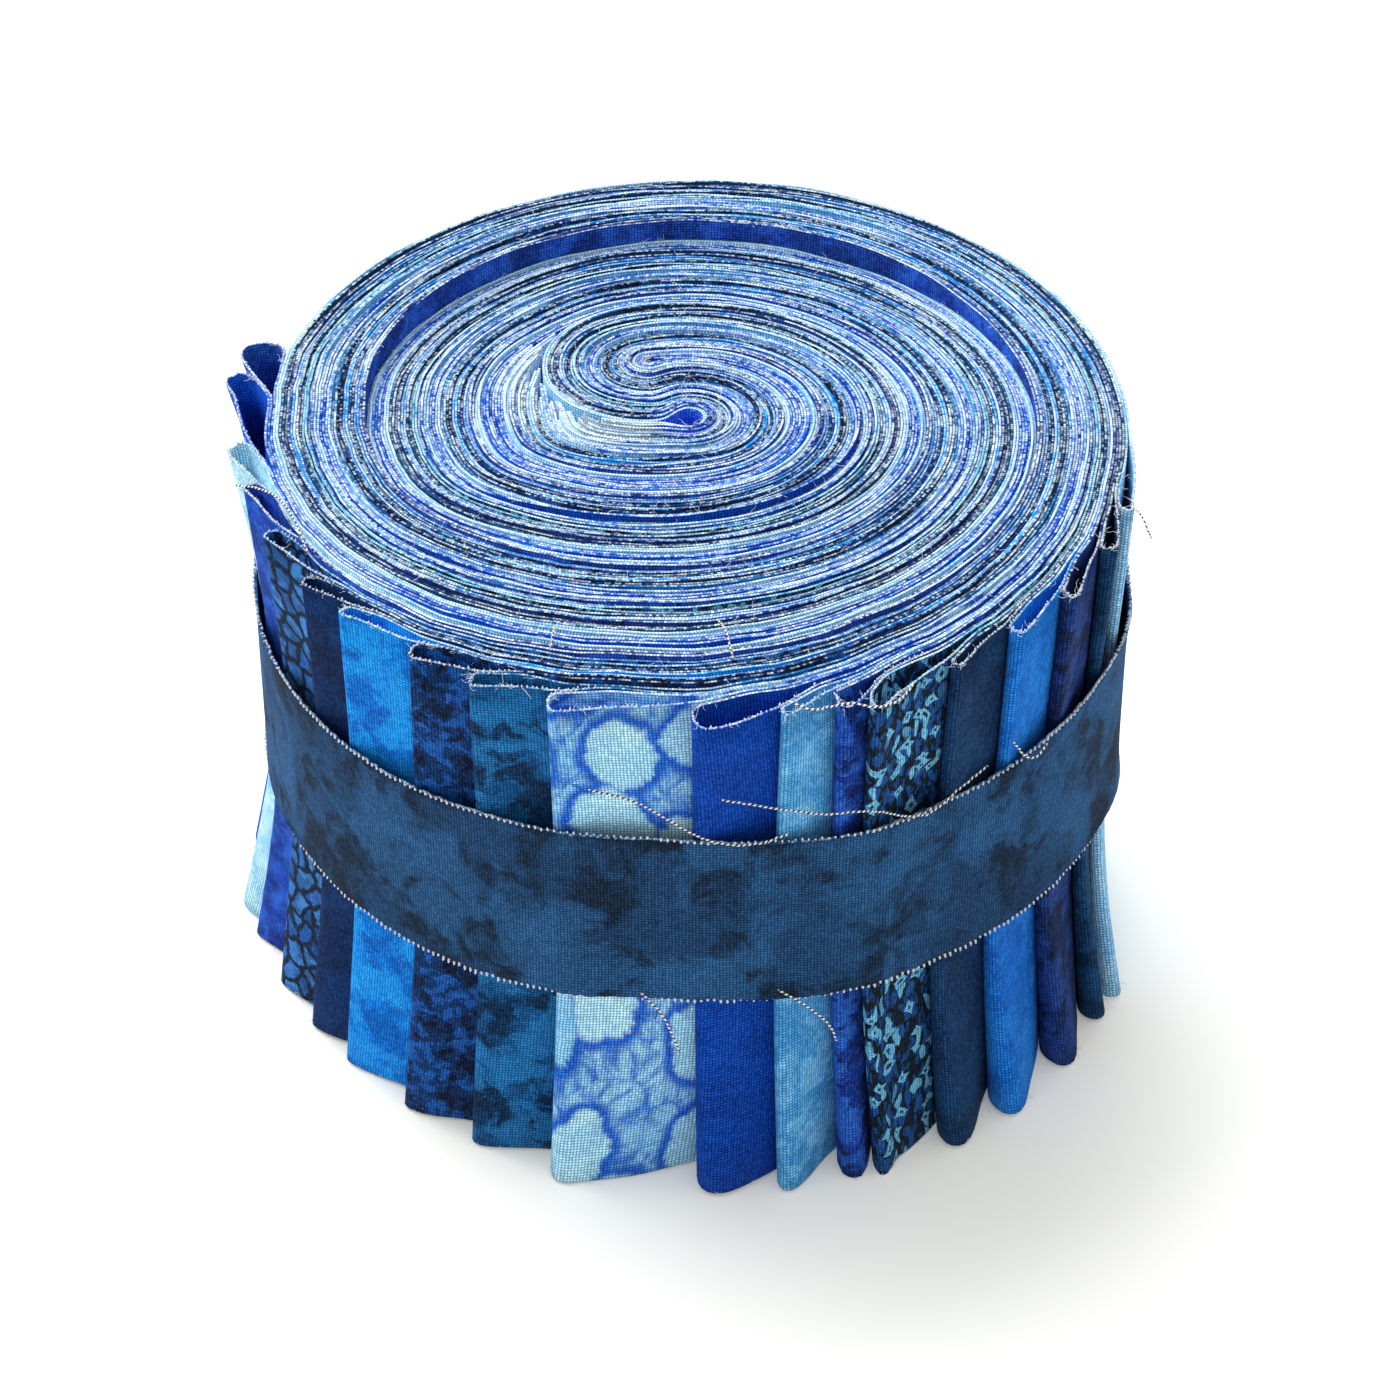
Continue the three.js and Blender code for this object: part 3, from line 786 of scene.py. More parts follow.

# %% [markdown]
# The face and the edge of a cloth
#
# The face puts the weave over the dye: the crowns of the threads get a painted highlight and a little wear,
# the gaps between them get painted shade, and the same height drives the bump. Cotton hardly shines, so
# roughness is high and the reflection low. The edge material paints the thin rim of the cloth with its yarn
# ends.


# %% Materials
COTTON = {"Roughness": 0.86, "Specular IOR Level": 0.06, "Sheen Weight": 0.01, "Sheen Roughness": 0.6}
# crown tint and glow: the crowns move towards a brighter copy of the cloth's own colour, partly wear and
# partly painted highlight
CROWN_TINT, CROWN_GLOW = 0.35, 1.7
# painted shade in the gaps between threads and painted highlight on their crowns
GAP_LIGHT, CROWN_LIGHT = 0.2, 1.15
THREAD_LIGHT = {"least": 0.74, "crossing": 0.22, "thread": 0.34}


def principled(name):
    """A new cotton: its material, its node tree and the place on the cloth."""
    material = bpy.data.materials.new(name)
    material.use_nodes = True
    tree = material.node_tree
    for label, value in COTTON.items():
        tree.nodes["Principled BSDF"].inputs[label].default_value = value
    return material, tree, add(tree, "ShaderNodeUVMap", uv_map=UV_NAME).outputs[0]


def cover(tree, colour, height=None, strength=0.0, depth=0.0):
    """Gives the shader its colour, and its bump where there is one."""
    inputs = tree.nodes["Principled BSDF"].inputs
    tree.links.new(colour, inputs["Base Color"])
    if height is not None:
        relief = {"Strength": strength, "Distance": depth * MM, "Height": height}
        tree.links.new(add(tree, "ShaderNodeBump", relief).outputs[0], inputs["Normal"])


def mark(tree, name):
    """A mask that the mesh carries on its points."""
    return add(tree, "ShaderNodeAttribute", attribute_name=name).outputs["Fac"]


def cloth_material(name, number):
    ground, second, third, kind, size, strength, pale = FABRICS[name]
    material, tree, place = principled(f"{name}_cloth")
    colour = dyed(tree, place, number, paint(ground), paint(second), paint(third), kind, size, strength)
    colour = tinted(tree, mark(tree, SELVAGE), 0.5, colour, paint(PALE_YARN))
    colour = tinted(tree, mark(tree, SHADED), 1.0, colour, paint(EYE_LINING))
    woven = use(tree, weave, Place=place, Pitch=WEAVE_PITCH * MM, Seed=number * 1.3)
    lifted = times(tree, woven["Height"], woven["Crossing"])
    light = PALE_YARN if pale > PALE_CLOTH else WORN_AND_HIGHLIT_YARN
    # painted highlight with some wear: the crowns of the threads are tinted paler
    wear_and_highlight = tinted(tree, lifted, WEAR_AND_HIGHLIGHT * pale, colour, paint(light))
    wear_and_highlight = tinted(tree, lifted, CROWN_TINT, wear_and_highlight, vector(tree, "SCALE", colour, CROWN_GLOW))
    # painted shade and highlight: darker in the gaps between threads, brighter on their crowns, by the weave
    # height
    crown = plus(tree, GAP_LIGHT, times(tree, woven["Height"], CROWN_LIGHT))
    uneven = plus(tree, THREAD_LIGHT["least"], times(tree, woven["Crossing"], THREAD_LIGHT["crossing"]))
    threads = plus(tree, uneven, times(tree, woven["Thread"], THREAD_LIGHT["thread"]))
    lit = blend(tree, 1.0, wear_and_highlight, times(tree, crown, threads), "MULTIPLY")
    cover(tree, lit, woven["Height"], strength=0.7, depth=0.07)
    return material


def edge_material(name, number):
    ground, second, third, *_, pale = FABRICS[name]
    material, tree, place = principled(f"{name}_edge")
    share = plus(tree, pale, times(tree, mark(tree, SELVAGE), 0.4))
    yarns = {"Place": place, "Pitch": WEAVE_PITCH * MM, "Seed": number * 2.1, "Pale_share": share}
    ends = use(tree, raw, **yarns, Dye=paint(second), Dark=paint(third), Pale=paint(CUT_YARN))
    cover(tree, ends["Color"], ends["Height"], strength=0.8, depth=0.08)
    return material


materials = {name: [cloth_material(name, i), edge_material(name, i)] for i, name in enumerate(FABRICS)}
print(len(materials), "fabrics, each with a face and a cut edge")

# %% [markdown]
# A strip from cut end to cut end
#
# The strip is one sheet: out along its inner layer, round the fold, and back along its outer layer. Its
# shape is worked out first as rows of points, one row for each height, because the loop at the fold opens
# more at the top and the bottom than under the band.


# %% Rows of a strip
NOSE_STEPS = np.radians([0, 16, 33, 50, 68, 90])
END_ARCS = np.append([0.5, 1.1, 1.9, 2.9, 4.1, 5.5, 7, 8.6, 10.4, 12.3, 14.4, 16.7],
                     np.arange(19.1, 44, 2.4))
CURL_INNER, NOSE_FADE = 0.55, 14.0
EDGE_SLACK, LEAST_RISE = 0.35, 0.02


def end_layer(strip, outer):
    """Rows of points of one layer from its fold inward, heights x columns x 2, and the winding angle."""
    layer = 2 * strip + outer
    height = HEIGHTS[:, None]
    gap = opening(strip, height)
    nose = NOSE[0] + NOSE[1] * gap
    curl = nose * (1 - np.cos(NOSE_STEPS)) * (1.0 if outer else CURL_INNER)
    far = END_ARCS + nose * (1 - ramp(END_ARCS, 0, NOSE_FADE))
    arc = np.concatenate([curl, far], axis=1)
    spring = np.concatenate([np.sin(NOSE_STEPS), np.ones(len(END_ARCS))])
    lean = (fold_azimuth(strip, height) - FOLD_MIDDLE[strip]) * (1 - ramp(arc, *LEAN_FADE))
    azimuth = FOLD_MIDDLE[strip] + np.degrees(arc / RIM_RADIUS) + lean
    winding = 360 * WHOLE_TURNS + rim_turn(azimuth)
    rest = settle(CORE_AZIMUTH - winding, turn_edge(winding) + (layer + 0.5) * LAYER)
    loop = LAYER + gap * closing(arc, PITCH[strip])
    if outer:
        off = loop * (LOOP_LOW_SHARE + (1 - LOOP_LOW_SHARE) * spring) - LAYER
    else:
        off = loop * LOOP_LOW_SHARE * (1 - spring)
    off = off + lift_below(strip, azimuth, height)
    return rest + unit(azimuth) * off[..., None], winding


def layer_rows(strip, outer):
    """One layer from its cut end to its fold: heights x columns x 3."""
    layer = 2 * strip + outer
    middle = len(HEIGHTS) // 2
    end, end_winding = end_layer(strip, outer)
    free_end = rim_turn(FOLD_MIDDLE[strip] + math.degrees(FREE_END / RIM_RADIUS))
    way, winding = layer_way(layer, CUT_END[strip] + rng.uniform(-2, 4), 360 * WHOLE_TURNS + float(free_end))
    flat = np.concatenate([np.broadcast_to(way, (len(HEIGHTS), *way.shape)), end[:, ::-1]], axis=1)
    turns = np.concatenate([winding, end_winding[middle, ::-1]])
    length = np.append(0, np.cumsum(np.hypot(*np.diff(flat[middle], axis=0).T)))
    top = STRIP_WIDTH - EDGE_SLACK + edge_line(length) - sunk(flat[middle], turns, layer)
    bottom = np.clip(EDGE_SLACK + edge_line(length), LEAST_RISE, None)
    top = np.clip(top, None, STRIP_WIDTH) + proud(turns, layer)
    share = HEIGHTS[:, None] / STRIP_WIDTH
    return np.concatenate([flat, (bottom * (1 - share) + top * share)[..., None]], axis=2)


trial, _ = end_layer(9, 1)
print("the widest strip's fold reaches", np.round(np.hypot(*trial[:, 0].T), 1), "mm from the axis")

# %% [markdown]
# The length along the cloth
#
# The weave must not stretch where a loop is open, so every height measures its own length from the fold.
# Further in, hidden under the next strips, the measures settle to the same one. The whole strip is also
# drawn in a little at half its height, where the band squeezes the roll.

# %% Lengths
OWN_LENGTH = (10.0, 24.0)


def strip_rows(strip):
    """The whole strip, heights x columns x 3 in millimetres, and the length along the cloth at each."""
    inner, outer = layer_rows(strip, 0), layer_rows(strip, 1)
    rows = np.concatenate([inner, outer[:, -2::-1]], axis=1)
    steps = np.linalg.norm(np.diff(rows[..., :2], axis=1), axis=2)
    along = np.pad(np.cumsum(steps, axis=1), ((0, 0), (1, 0)))
    along -= along[:, [inner.shape[1] - 1]]
    middle = along[len(HEIGHTS) // 2]
    along = middle + (along - middle) * (1 - ramp(np.abs(middle), *OWN_LENGTH)) - middle[0]
    reach = np.hypot(rows[..., 0], rows[..., 1])
    waist = np.sin(np.pi * HEIGHTS / STRIP_WIDTH)[:, None] ** 2
    rows[..., :2] *= (1 - WAIST * waist * (reach / RIM_RADIUS) ** WAIST_POWER / RIM_RADIUS)[..., None]
    rows[..., :2] += AXIS
    return rows, along


strip_shapes, strip_lengths = zip(*(strip_rows(strip) for strip in range(COUNT)))
print("strips laid out flat are", [round(float(along[0, -1])) for along in strip_lengths], "mm long")

# %% [markdown]
# From rows to cloth
#
# The mesh starts as a chain of edges along the bottom and is extruded upward row by row. The UV map runs
# along the cloth in metres, so every weave and print keeps its real size. A Solidify modifier gives the
# thickness, with the edge material on its rim. Two masks travel on the points: the bare cloth near the
# cut ends, and the lining of the front eye, which looks deep blue.


# %% Ribbon
def as_mesh(bm, name):
    mesh = bpy.data.meshes.new(name)
    bm.to_mesh(mesh)
    bm.free()
    return mesh


def extrude(bm, edges):
    """Extrudes edges: the new points, the new edges between them, and the new faces."""
    made = bmesh.ops.extrude_edge_only(bm, edges=edges)["geom"]
    raised = {g for g in made if isinstance(g, bmesh.types.BMVert)}
    ahead = [g for g in made if isinstance(g, bmesh.types.BMEdge) and raised.issuperset(g.verts)]
    return raised, ahead, [g for g in made if isinstance(g, bmesh.types.BMFace)]


def ribbon(name, rows, along, materials, heights, thickness, masks=None):
    """One sheet extruded upward from its bottom edge, with a thickness and cut rims."""
    bm = bmesh.new()
    column, level = bm.verts.layers.int.new("column"), bm.verts.layers.int.new("level")
    marks = [(bm.verts.layers.float.new(label), values) for label, values in (masks or {}).items()]
    along = np.broadcast_to(along, rows.shape[:2])
    chain = [bm.verts.new(point) for point in rows[0] * MM]
    for number, vert in enumerate(chain):
        vert[column] = number
        for layer, values in marks:
            vert[layer] = values[number]
    edges = [bm.edges.new(pair) for pair in zip(chain, chain[1:])]
    for number, row in enumerate(rows[1:], 1):
        raised, edges, _ = extrude(bm, edges)
        for vert in raised:
            vert.co = row[vert[column]] * MM
            vert[level] = number
    uv = bm.loops.layers.uv.new(UV_NAME)
    for face in bm.faces:
        face.smooth = True
        for loop in face.loops:
            number = loop.vert[level]
            loop[uv].uv = (along[number, loop.vert[column]] * MM, heights[number] * MM)
    mesh = as_mesh(bm, name)
    piece = place_object(name, mesh)
    for material in materials:
        mesh.materials.append(material)
    thick = piece.modifiers.new("cloth thickness", "SOLIDIFY")
    thick.thickness, thick.offset = thickness * MM, 0
    thick.material_offset_rim = 1
    return piece


print("the ribbon tool makes", len(HEIGHTS) - 1, "rows of faces up a strip")

# %% [markdown]
# Nineteen strips
#
# Every strip gets its fabric, and the imported solids it stands for are hidden: its own folded end,
# and the wound roll that all the strips fill together.


# %% The strips
SELVAGE_WIDTH = 13.0
EYE_SHADE = (3.2, 4.6)


def bare_ends(length):
    """1 near the cut ends of a strip, where the cloth was never printed."""
    from_end = np.minimum(length, length[-1] - length)
    return 1 - ramp(from_end, SELVAGE_WIDTH * rng.uniform(0.3, 0.7), SELVAGE_WIDTH * rng.uniform(0.9, 1.3))


def near_eye(rows):
    """1 where the cloth lines the front eye and 0 away from it, for each column."""
    eye_place = settle(np.array([CORE_AZIMUTH + 180]), np.array([STACK / 2]))[0] + AXIS
    return 1 - ramp(np.linalg.norm(rows[0, :, :2] - eye_place, axis=1), *EYE_SHADE)


strips = []
for strip, (rows, along) in enumerate(zip(strip_shapes, strip_lengths)):
    fabric = STRIPS[strip][0]
    length = along[len(HEIGHTS) // 2]
    masks = {SELVAGE: bare_ends(length), SHADED: near_eye(rows)}
    piece = ribbon(f"strip_{strip + 1:02d}", rows, along, materials[fabric], HEIGHTS, CLOTH, masks)
    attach(piece, "root")
    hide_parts(f"strip_end_{strip + 1:02d}", "wound_roll")
    strips.append(piece)
faces = sum(len(piece.data.polygons) for piece in strips)
print(len(strips), "strips with", faces, "faces before the thickness")

# %% [markdown]
# Under the band
#
# A torn strip of slate navy cotton goes once round the roll and laps over its own beginning at the back.
# Being tight, it rides on the folds and spans the hollows between them. So the furthest cloth is measured
# in every direction, spread over its neighbours, and smoothed.

# %% Under the band
BAND_CLOTH, BAND_GAP = 0.3, 0.2
LAP_AZIMUTH, LAP_LENGTH, LAP_RAMP = 78.0, 14.0, 7.0
BAND_STEP, BIN = 0.75, 2.0
NEIGHBOURS = (-2, -1, 0, 1, 2)


def outline_under_band():
    """The furthest cloth at each azimuth under the band, bridged over the hollows."""
    far = np.zeros(int(360 / BIN))
    for rows in strip_shapes:
        points = rows[(HEIGHTS >= BAND_LOW - 1) & (HEIGHTS <= BAND_HIGH + 1)].reshape(-1, 3)[:, :2] - AXIS
        bins = (np.mod(azimuth_of(points), 360) / BIN).astype(int) % len(far)
        np.maximum.at(far, bins, np.hypot(*points.T))
    spread = np.max([np.roll(far, shift) for shift in NEIGHBOURS], axis=0)
    return np.mean([np.roll(spread, shift) for shift in NEIGHBOURS], axis=0)


under_band = outline_under_band()
print("cloth under the band reaches", np.round([under_band.min(), under_band.max()], 1), "mm")

# %% [markdown]
# The band
#
# The band is made by the same ribbon tool. Its middle leans a little with the roll, its raw edges wave and
# stand off slightly, and the last millimetres climb over the first. A tape of even width would look new;
# the waves are what makes it a torn strip.

# %% Band
BAND_WAVE, BAND_RISE, BAND_FRAY = 0.45, 1.1, 0.12
BAND_ROWS = np.array([0.0, 0.04, 0.1, 0.2, 0.35, 0.5, 0.65, 0.8, 0.9, 0.96, 1.0])
EDGE_LIFT, EDGE_LIFT_POWER = 0.21, 6

gone = np.arange(0, 360 + math.degrees(LAP_LENGTH / RIM_RADIUS), BAND_STEP)
band_azimuth = LAP_AZIMUTH + gone
base = np.interp(np.mod(band_azimuth - BIN / 2, 360), np.arange(0, 360, BIN), under_band, period=360)
over_lap = ramp(gone, 360 - math.degrees(LAP_RAMP / RIM_RADIUS), 358) * (BAND_CLOTH + BAND_GAP)
band_radius = base + CLOTH / 2 + BAND_GAP + BAND_CLOTH / 2 + over_lap
turn = np.radians(band_azimuth)
lean = (BAND_RISE * np.cos(turn) - BAND_WAVE * np.sin(5 * turn)) / 2
fray = rng.uniform(-BAND_FRAY, BAND_FRAY, (2, len(gone)))
band_low = BAND_LOW + lean + BAND_WAVE * np.sin(3 * turn) + fray[0]
band_high = BAND_HIGH + lean + BAND_WAVE * np.cos(4 * turn + 1) + fray[1]
edge_lift = EDGE_LIFT * (1 + np.sin(turn * 9 + 2 * np.sin(turn * 4)))
band_rows = []
for share in BAND_ROWS:
    off = band_radius + edge_lift * (abs(share - 0.5) * 2) ** EDGE_LIFT_POWER
    height = band_low * (1 - share) + band_high * share
    band_rows.append(np.column_stack([unit(band_azimuth) * off[:, None] + AXIS, height]))
band_length = np.append(0, np.cumsum(np.radians(np.diff(band_azimuth)) * band_radius[1:]))
band_width = BAND_HIGH - BAND_LOW
rows_up = BAND_ROWS * band_width
band = ribbon("band", np.array(band_rows), band_length, materials["band"], rows_up, BAND_CLOTH)
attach(band, "root")
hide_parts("band")
radii = np.round([band_radius.min(), band_radius.max()], 1)
print("band", round(float(band_length[-1]), 1), "mm long, radius", radii)

# %% [markdown]
# A tool for threads
#
# Yarns, yarn ends and fibres are all thin tubes. A curve with a bevel would do, but here every tube is
# extruded ring by ring, so it can taper and carries its own UV for the twist. Each kind is joined into one
# mesh, made a handful at a time, because a small mesh is quick to work on.


# %% Strands
HANDFUL = 24


def travelled(path):
    """The length along a path at each of its points."""
    return np.append(0, np.cumsum(np.linalg.norm(np.diff(path, axis=0), axis=1)))


def strand(bm, path, radii, sides):
    """A closed thin tube along a path, extruded ring by ring from its first end."""
    uv, order = bm.loops.layers.uv[UV_NAME], bm.verts.layers.int["order"]
    heading = np.gradient(path, axis=0)
    lengths = travelled(path)
    cap = bmesh.ops.create_circle(bm, cap_ends=True, segments=sides, radius=1.0)["verts"][0].link_faces[0]
    local = [vert.co.copy() for vert in cap.verts]

    def placed(number):
        turn = Vector(heading[number]).to_track_quat("Z", "Y")
        return [(Vector(path[number]) + turn @ (co * radii[number])) * MM for co in local]

    for number, (vert, place) in enumerate(zip(cap.verts, placed(0))):
        vert.co = place
        vert[order] = number
    edges = list(cap.edges)
    made_faces = []
    for number in range(1, len(path)):
        raised, edges, faces = extrude(bm, edges)
        spots = placed(number)
        for vert in raised:
            vert.co = spots[vert[order]]
        made_faces.extend(faces)
        for face in faces:
            face.smooth = True
            for loop in face.loops:
                at = lengths[number] if loop.vert in raised else lengths[number - 1]
                loop[uv].uv = (at * MM, loop.vert[order] / sides * MM)
    end_cap = bmesh.ops.contextual_create(bm, geom=edges)["faces"]
    bmesh.ops.recalc_face_normals(bm, faces=[cap, *made_faces, *end_cap])


def strands_object(name, strands, material):
    """Joins many strands into one piece of the scene."""
    whole = bmesh.new()
    for first in range(0, len(strands), HANDFUL):
        part = bmesh.new()
        part.loops.layers.uv.new(UV_NAME)
        part.verts.layers.int.new("order")
        for path, radii, sides in strands[first : first + HANDFUL]:
            strand(part, path, radii, sides)
        made = as_mesh(part, "handful")
        whole.from_mesh(made)
        bpy.data.meshes.remove(made)
    mesh = as_mesh(whole, name)
    mesh.materials.append(material)
    piece = place_object(name, mesh)
    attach(piece, "root")
    print(name, "has", len(strands), "strands and", len(mesh.polygons), "faces")
    return piece


corner = np.array([[0, 0, 0], [3, 0, 0], [3, 4, 0]])
print("lengths along a path round a corner:", travelled(corner), "mm")

# %% [markdown]
# Twisted yarn
#
# A yarn pulled out of printed cloth is dyed on one side only, so its twist shows as slanting dashes of
# white and navy. A sine over the length plus the way round gives the slant.


# %% Thread material
def thread_material(name, light, dark, twist):
    """A twisted yarn: slanting light and dark dashes along its length."""
    material, tree, place = principled(name)
    run, around, _ = parts(tree, place)
    turns = maths(tree, "DIVIDE", run, twist * MM)
    slant = plus(tree, turns, maths(tree, "DIVIDE", around, MM))
    wave = maths(tree, "SINE", times(tree, slant, 2 * math.pi))
    fibres = times(tree, noise(tree, place, 2600.0, 2.0, 0.6), 0.8)
    mask = step(tree, plus(tree, wave, fibres), 0.1, 0.7)
    cover(tree, blend(tree, mask, paint(dark), paint(light)))
    return material


dashed = thread_material("dashed_thread", "f4f1ee", "26324e", 0.55)
pale_yarn = thread_material("pale_yarn", "f2efec", "b9c4da", 0.4)
print("two yarns, twisted every 0.55 and 0.4 mm")

# %% [markdown]
# Loose threads
#
# Handling pulls single yarns out of the edges. Two long ones lie over the band's top edge at the front,
# two hang from its bottom edge, and short ones lie on the roll. Each route is a few listed places,
# given as seen from the roll's axis, with a smooth curve through them.

# %% Loose threads
THREADS = {
    # azimuth, height, reach from the axis
    "over_band_left": ((257.5, 53.3, 48.0), (262.3, 53.2, 48.6), (265.8, 51.2, 48.3), (269, 49.1, 48.2),
                       (271.3, 47.7, 47.9), (274.4, 46.8, 47.8), (278, 46.8, 47.7), (281, 47.5, 47.6)),
    "over_band_right": ((273, 53.3, 48.4), (278, 52.2, 48.6), (282, 51.0, 48.5), (285.5, 50.1, 48.6),
                        (289.3, 49.9, 48.9), (292.2, 48.6, 48.4), (296.3, 46.4, 47.9), (299.5, 46.0, 47.8),
                        (303.3, 47.3, 47.6), (307.7, 48.3, 47.4)),
    "under_band_left": ((263.3, 26.1, 47.2), (265.7, 24.2, 47.8), (267.1, 21.5, 48.2), (268, 19.4, 48.4)),
    "under_band_right": ((280, 26.4, 47.3), (283.2, 24.5, 48.2), (285.8, 22.2, 49.0), (286.8, 19.9, 49.4)),
    "curl": ((312, 49.4, 47.3), (313.4, 47.3, 48.1), (314.8, 47.0, 48.6), (316, 48.2, 48.8)),
    "on_top_strips": ((281, 64.3, 47.6), (283.2, 63.9, 48.6), (285.6, 63.5, 48.2), (288, 63.6, 48.4),
                      (290.7, 63.1, 49.2), (293.7, 62.9, 48.8), (296, 63.4, 47.8)),
    "top_left": ((193, 63.0, 48.2), (196, 64.2, 46.4), (200, 64.9, 44.9), (205, 64.6, 44.4),
                 (210, 63.4, 44.8)),
    "top_short": ((273.7, 63.6, 33.4), (274.7, 64.3, 36.2), (275.3, 63.4, 39.2)),
    "top_short_left": ((249.6, 63.6, 40.6), (249, 64.2, 38.9), (248, 63.5, 36.8)),
    "hair": ((342.3, 62.8, 46.4), (339.8, 63.6, 47.9), (338.3, 62.9, 49.0), (339, 61.5, 49.3)),
}
THREAD_RADIUS, THREAD_SIDES, THREAD_STEP, THREAD_SHAKE = 0.11, 6, 0.3, 0.03


def from_axis(places):
    """Points in millimetres from azimuth, height and reach."""
    table = np.array(places)
    return np.column_stack([unit(table[:, 0]) * table[:, 2:] + AXIS, table[:, 1]])


def smooth_path(points, step):
    """Points about a step apart on a smooth curve through the given ones."""
    ends = np.concatenate([[2 * points[0] - points[1]], points, [2 * points[-1] - points[-2]]])
    path = []
    for before, start, end, after in zip(ends, ends[1:], ends[2:], ends[3:]):
        count = max(2, int(np.linalg.norm(end - start) / step))
        for t in np.linspace(0, 1, count, endpoint=False):
            bow = (2 * before - 5 * start + 4 * end - after) * t**2
            twist = (3 * start - before - 3 * end + after) * t**3
            path.append(start + 0.5 * ((end - before) * t + bow + twist))
    return np.array(path + [points[-1]])


threads = []
for places in THREADS.values():
    path = smooth_path(from_axis(places), THREAD_STEP)
    path = path + rng.normal(0, THREAD_SHAKE, path.shape)
    threads.append((path, np.full(len(path), THREAD_RADIUS), THREAD_SIDES))
strands_object("loose_threads", threads, dashed)

# %% [markdown]
# Yarn ends
#
# Where cloth is torn or cut, the last threads along the edge fall away and the ends of the crossing yarns
# stand free like the teeth of a comb. They stand along both edges of the band, and round the open folds,
# where the light catches them as white dots.

# %% Yarn ends
BAND_ENDS = {"pitch": 0.66, "length": 0.4, "radius": 0.15}
FOLD_ENDS = {"pitch": 0.5, "length": 0.32, "radius": 0.11}
FOLD_RIM = (8, 15)
TAPER = np.array([1, 0.95, 0.5])


def yarn_end(start, lean, kind):
    """A short stub from a place, leaning by a vector."""
    tip = start + np.array(lean)
    return np.array([start, (start + tip) / 2, tip]), TAPER * kind["radius"], 4


band_ends = []
for side, heights in ((-1, band_low), (1, band_high)):
    for place in np.arange(1.0, band_length[-1] - 1.0, BAND_ENDS["pitch"]):
        azimuth = np.interp(place, band_length, band_azimuth)
        radius = np.interp(place, band_length, band_radius) + 0.2
        height = np.interp(place, band_length, heights)
        start = np.append(unit(azimuth) * radius + AXIS, height - side * 0.12)
        up = side * BAND_ENDS["length"] * rng.uniform(0.6, 1.2)
        band_ends.append(yarn_end(start, (*(unit(azimuth) * rng.uniform(0.02, 0.2)), up), BAND_ENDS))
strands_object("band_yarn_ends", band_ends, pale_yarn)

fold_ends = []
for rows in strip_shapes:
    fold = rows.shape[1] // 2
    rim = rows[-1, fold - FOLD_RIM[0] : fold + FOLD_RIM[1]]
    along = travelled(rim)
    for place in np.arange(0.3, along[-1], FOLD_ENDS["pitch"]):
        start = np.array([np.interp(place, along, values) for values in rim.T]) - (0, 0, 0.1)
        up = FOLD_ENDS["length"] * rng.uniform(0.6, 1.3)
        fold_ends.append(yarn_end(start, (*rng.normal(0, 0.09, 2), up), FOLD_ENDS))
strands_object("fold_yarn_ends", fold_ends, pale_yarn)

# %% [markdown]
# Fuzz on the cut edges
#
# A cut edge sheds fibres: short, thin and curled, lying over their neighbours. A particle system could
# grow them, but a random walk for each fibre keeps them lying along the edge they came from. They start
# at the top edge of every strip, more of them at the open folds, and a few hang at the bottom.

# %% Fuzz
FUZZ = {"top": 2600, "folds": 16, "bottoms": 12, "radius": 0.035, "least": 0.5, "steps": 5, "bend": 0.5}
FUZZ_FOLDS, FUZZ_BOTTOMS = (-9, 9), (-6, 12)
RISING = (0, 0, 0.25)
TOP_START, BOTTOM_START = -0.1, 0.15
LONG_FIBRE, SHORT_FIBRE = 2.2, 1.3
THINNING = FUZZ["radius"] * np.array([1, 1, 0.9, 0.8, 0.6, 0.4])


def wander(start, heading, longest):
    """A short fibre: a random walk that keeps roughly to its heading."""
    size = rng.uniform(FUZZ["least"], longest) / FUZZ["steps"]
    points = [start]
    for _ in range(FUZZ["steps"]):
        heading = heading + rng.normal(0, FUZZ["bend"], 3) * (1, 1, 0.5)
        heading /= np.linalg.norm(heading)
        points.append(points[-1] + heading * size)
    path = np.array(points)
    path[:, 2] = np.maximum(path[:, 2], start[2] - 0.1)
    return path, THINNING, 3


def fibre(edge, spot, lift, lean, longest):
    """A fibre that starts at a column of an edge and sets off along it."""
    along = edge[spot + 1] - edge[spot]
    return wander(edge[spot] + (0, 0, lift), along / np.linalg.norm(along) + lean, longest)


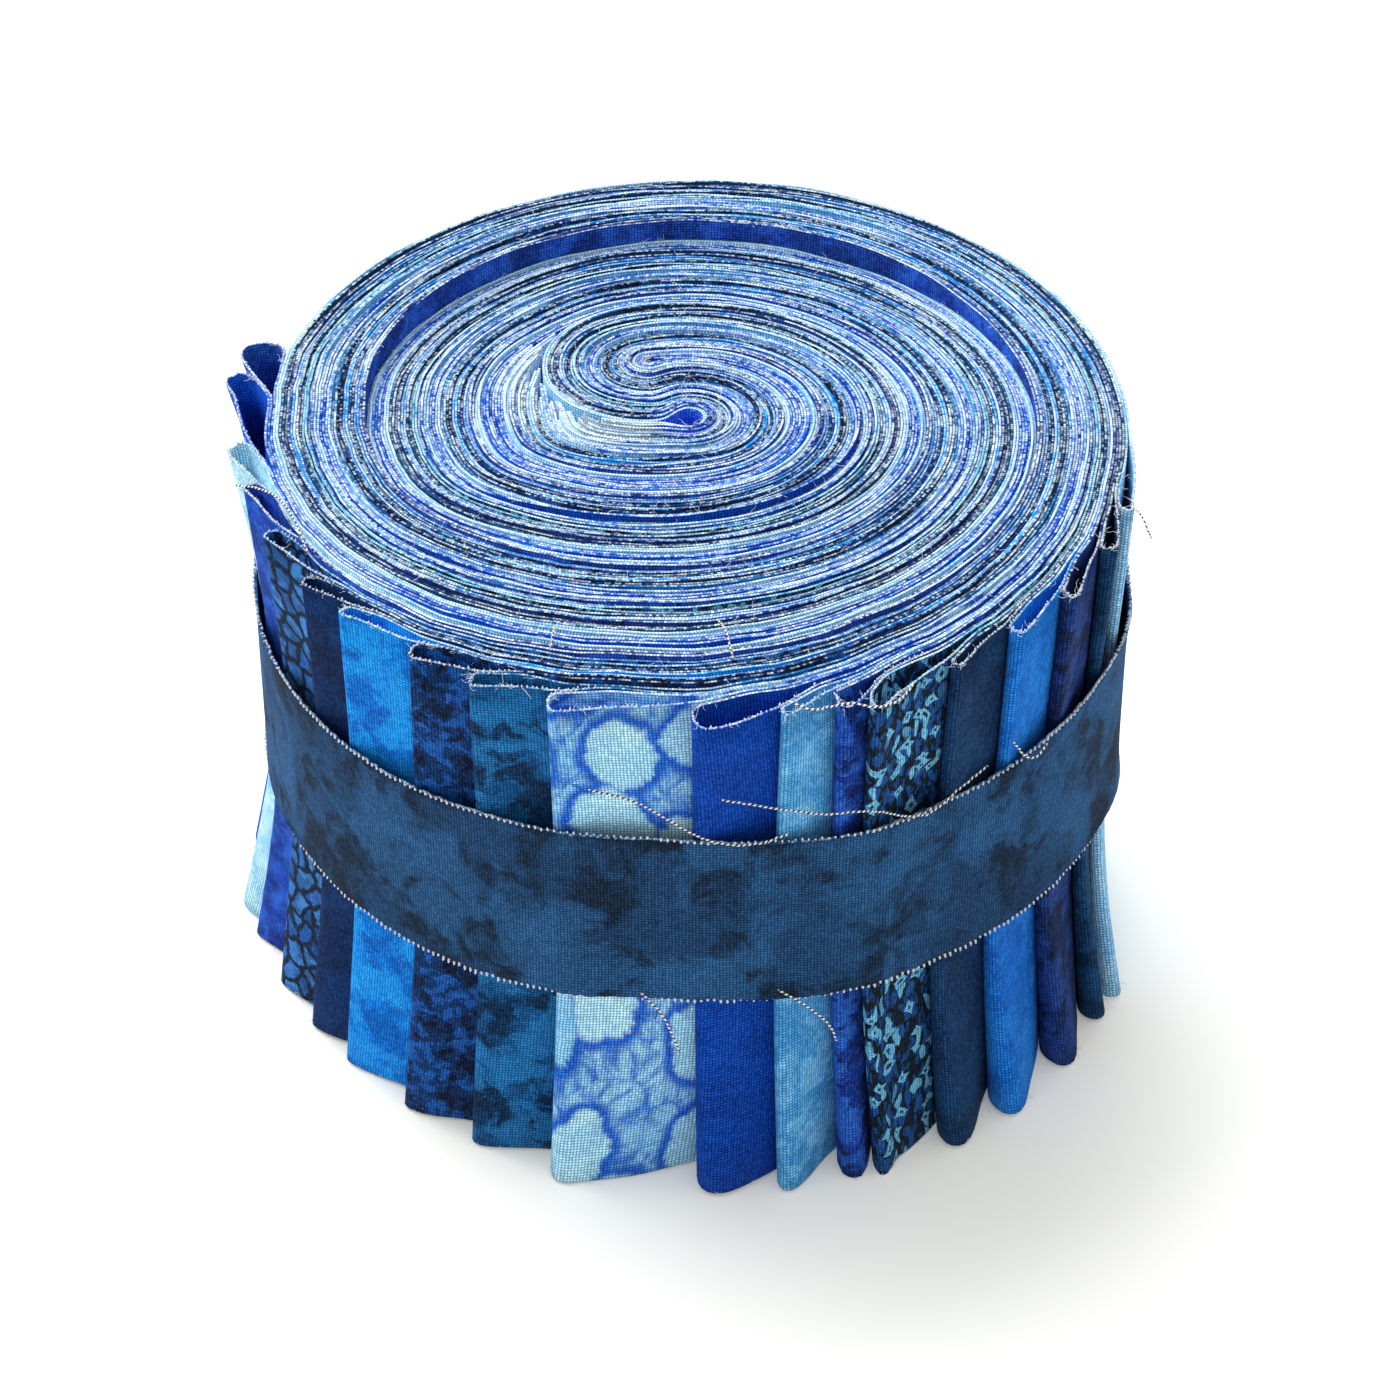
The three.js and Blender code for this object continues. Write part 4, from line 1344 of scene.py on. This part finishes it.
fibres = []
for rows in strip_shapes:
    low_edge, top_edge = rows[0], rows[-1]
    fold = len(top_edge) // 2
    for spot in rng.integers(2, len(top_edge) - 3, FUZZ["top"] // COUNT):
        fibres.append(fibre(top_edge, spot, TOP_START, RISING, LONG_FIBRE))
    for spot in fold + rng.integers(*FUZZ_FOLDS, FUZZ["folds"]):
        fibres.append(fibre(top_edge, spot, TOP_START, RISING, SHORT_FIBRE))
    for spot in fold + rng.integers(*FUZZ_BOTTOMS, FUZZ["bottoms"]):
        outward = np.append(low_edge[spot, :2] - AXIS, 0) / RIM_RADIUS
        fibres.append(fibre(low_edge, spot, BOTTOM_START, outward, SHORT_FIBRE))
strands_object("edge_fuzz", fibres, pale_yarn)

# %% [markdown]
# The floor
#
# The roll stands on a near-white sheet that glows a little, as a lit studio floor does, so the picture's
# edges stay white and only a faint warm shadow is left at the foot of the roll.

# %% Floor
bm = bmesh.new()
bmesh.ops.create_grid(bm, x_segments=1, y_segments=1, size=1.5)
floor_mesh = as_mesh(bm, "floor")
floor = place_object("floor", floor_mesh)
paper = bpy.data.materials.new("floor")
paper.use_nodes = True
sockets = paper.node_tree.nodes["Principled BSDF"].inputs
sockets["Base Color"].default_value = (0.93, 0.93, 0.88, 1)
sockets["Emission Color"].default_value = (1.0, 1.0, 0.92, 1)
sockets["Emission Strength"].default_value = 0.16
floor_mesh.materials.append(paper)
print("floor", [round(side, 2) for side in floor.dimensions[:2]], "m")

# %% [markdown]
# The light
#
# An even white sky fills the shadows. One broad lamp high up behind the roll makes the top brighter than
# the sides, as in the photograph. The plain view transform keeps the blues as saturated as they were dyed.

# %% Light
world = bpy.data.worlds.new("studio")
world.use_nodes = True
sky = world.node_tree.nodes["Background"].inputs
sky["Color"].default_value = (1, 1, 1, 1)
sky["Strength"].default_value = 0.78
bpy.context.scene.world = world
bpy.context.scene.view_settings.view_transform = "Standard"

window = bpy.data.lights.new("window", "AREA")
window.energy, window.size = 26, 1.2
lamp = place_object("window", window)
lamp.location = (-0.5, 0.7, 1.1)
lamp.rotation_euler = (-Vector(lamp.location)).to_track_quat("-Z", "Y").to_euler()
print("one lamp of", window.energy, "W and an even sky")
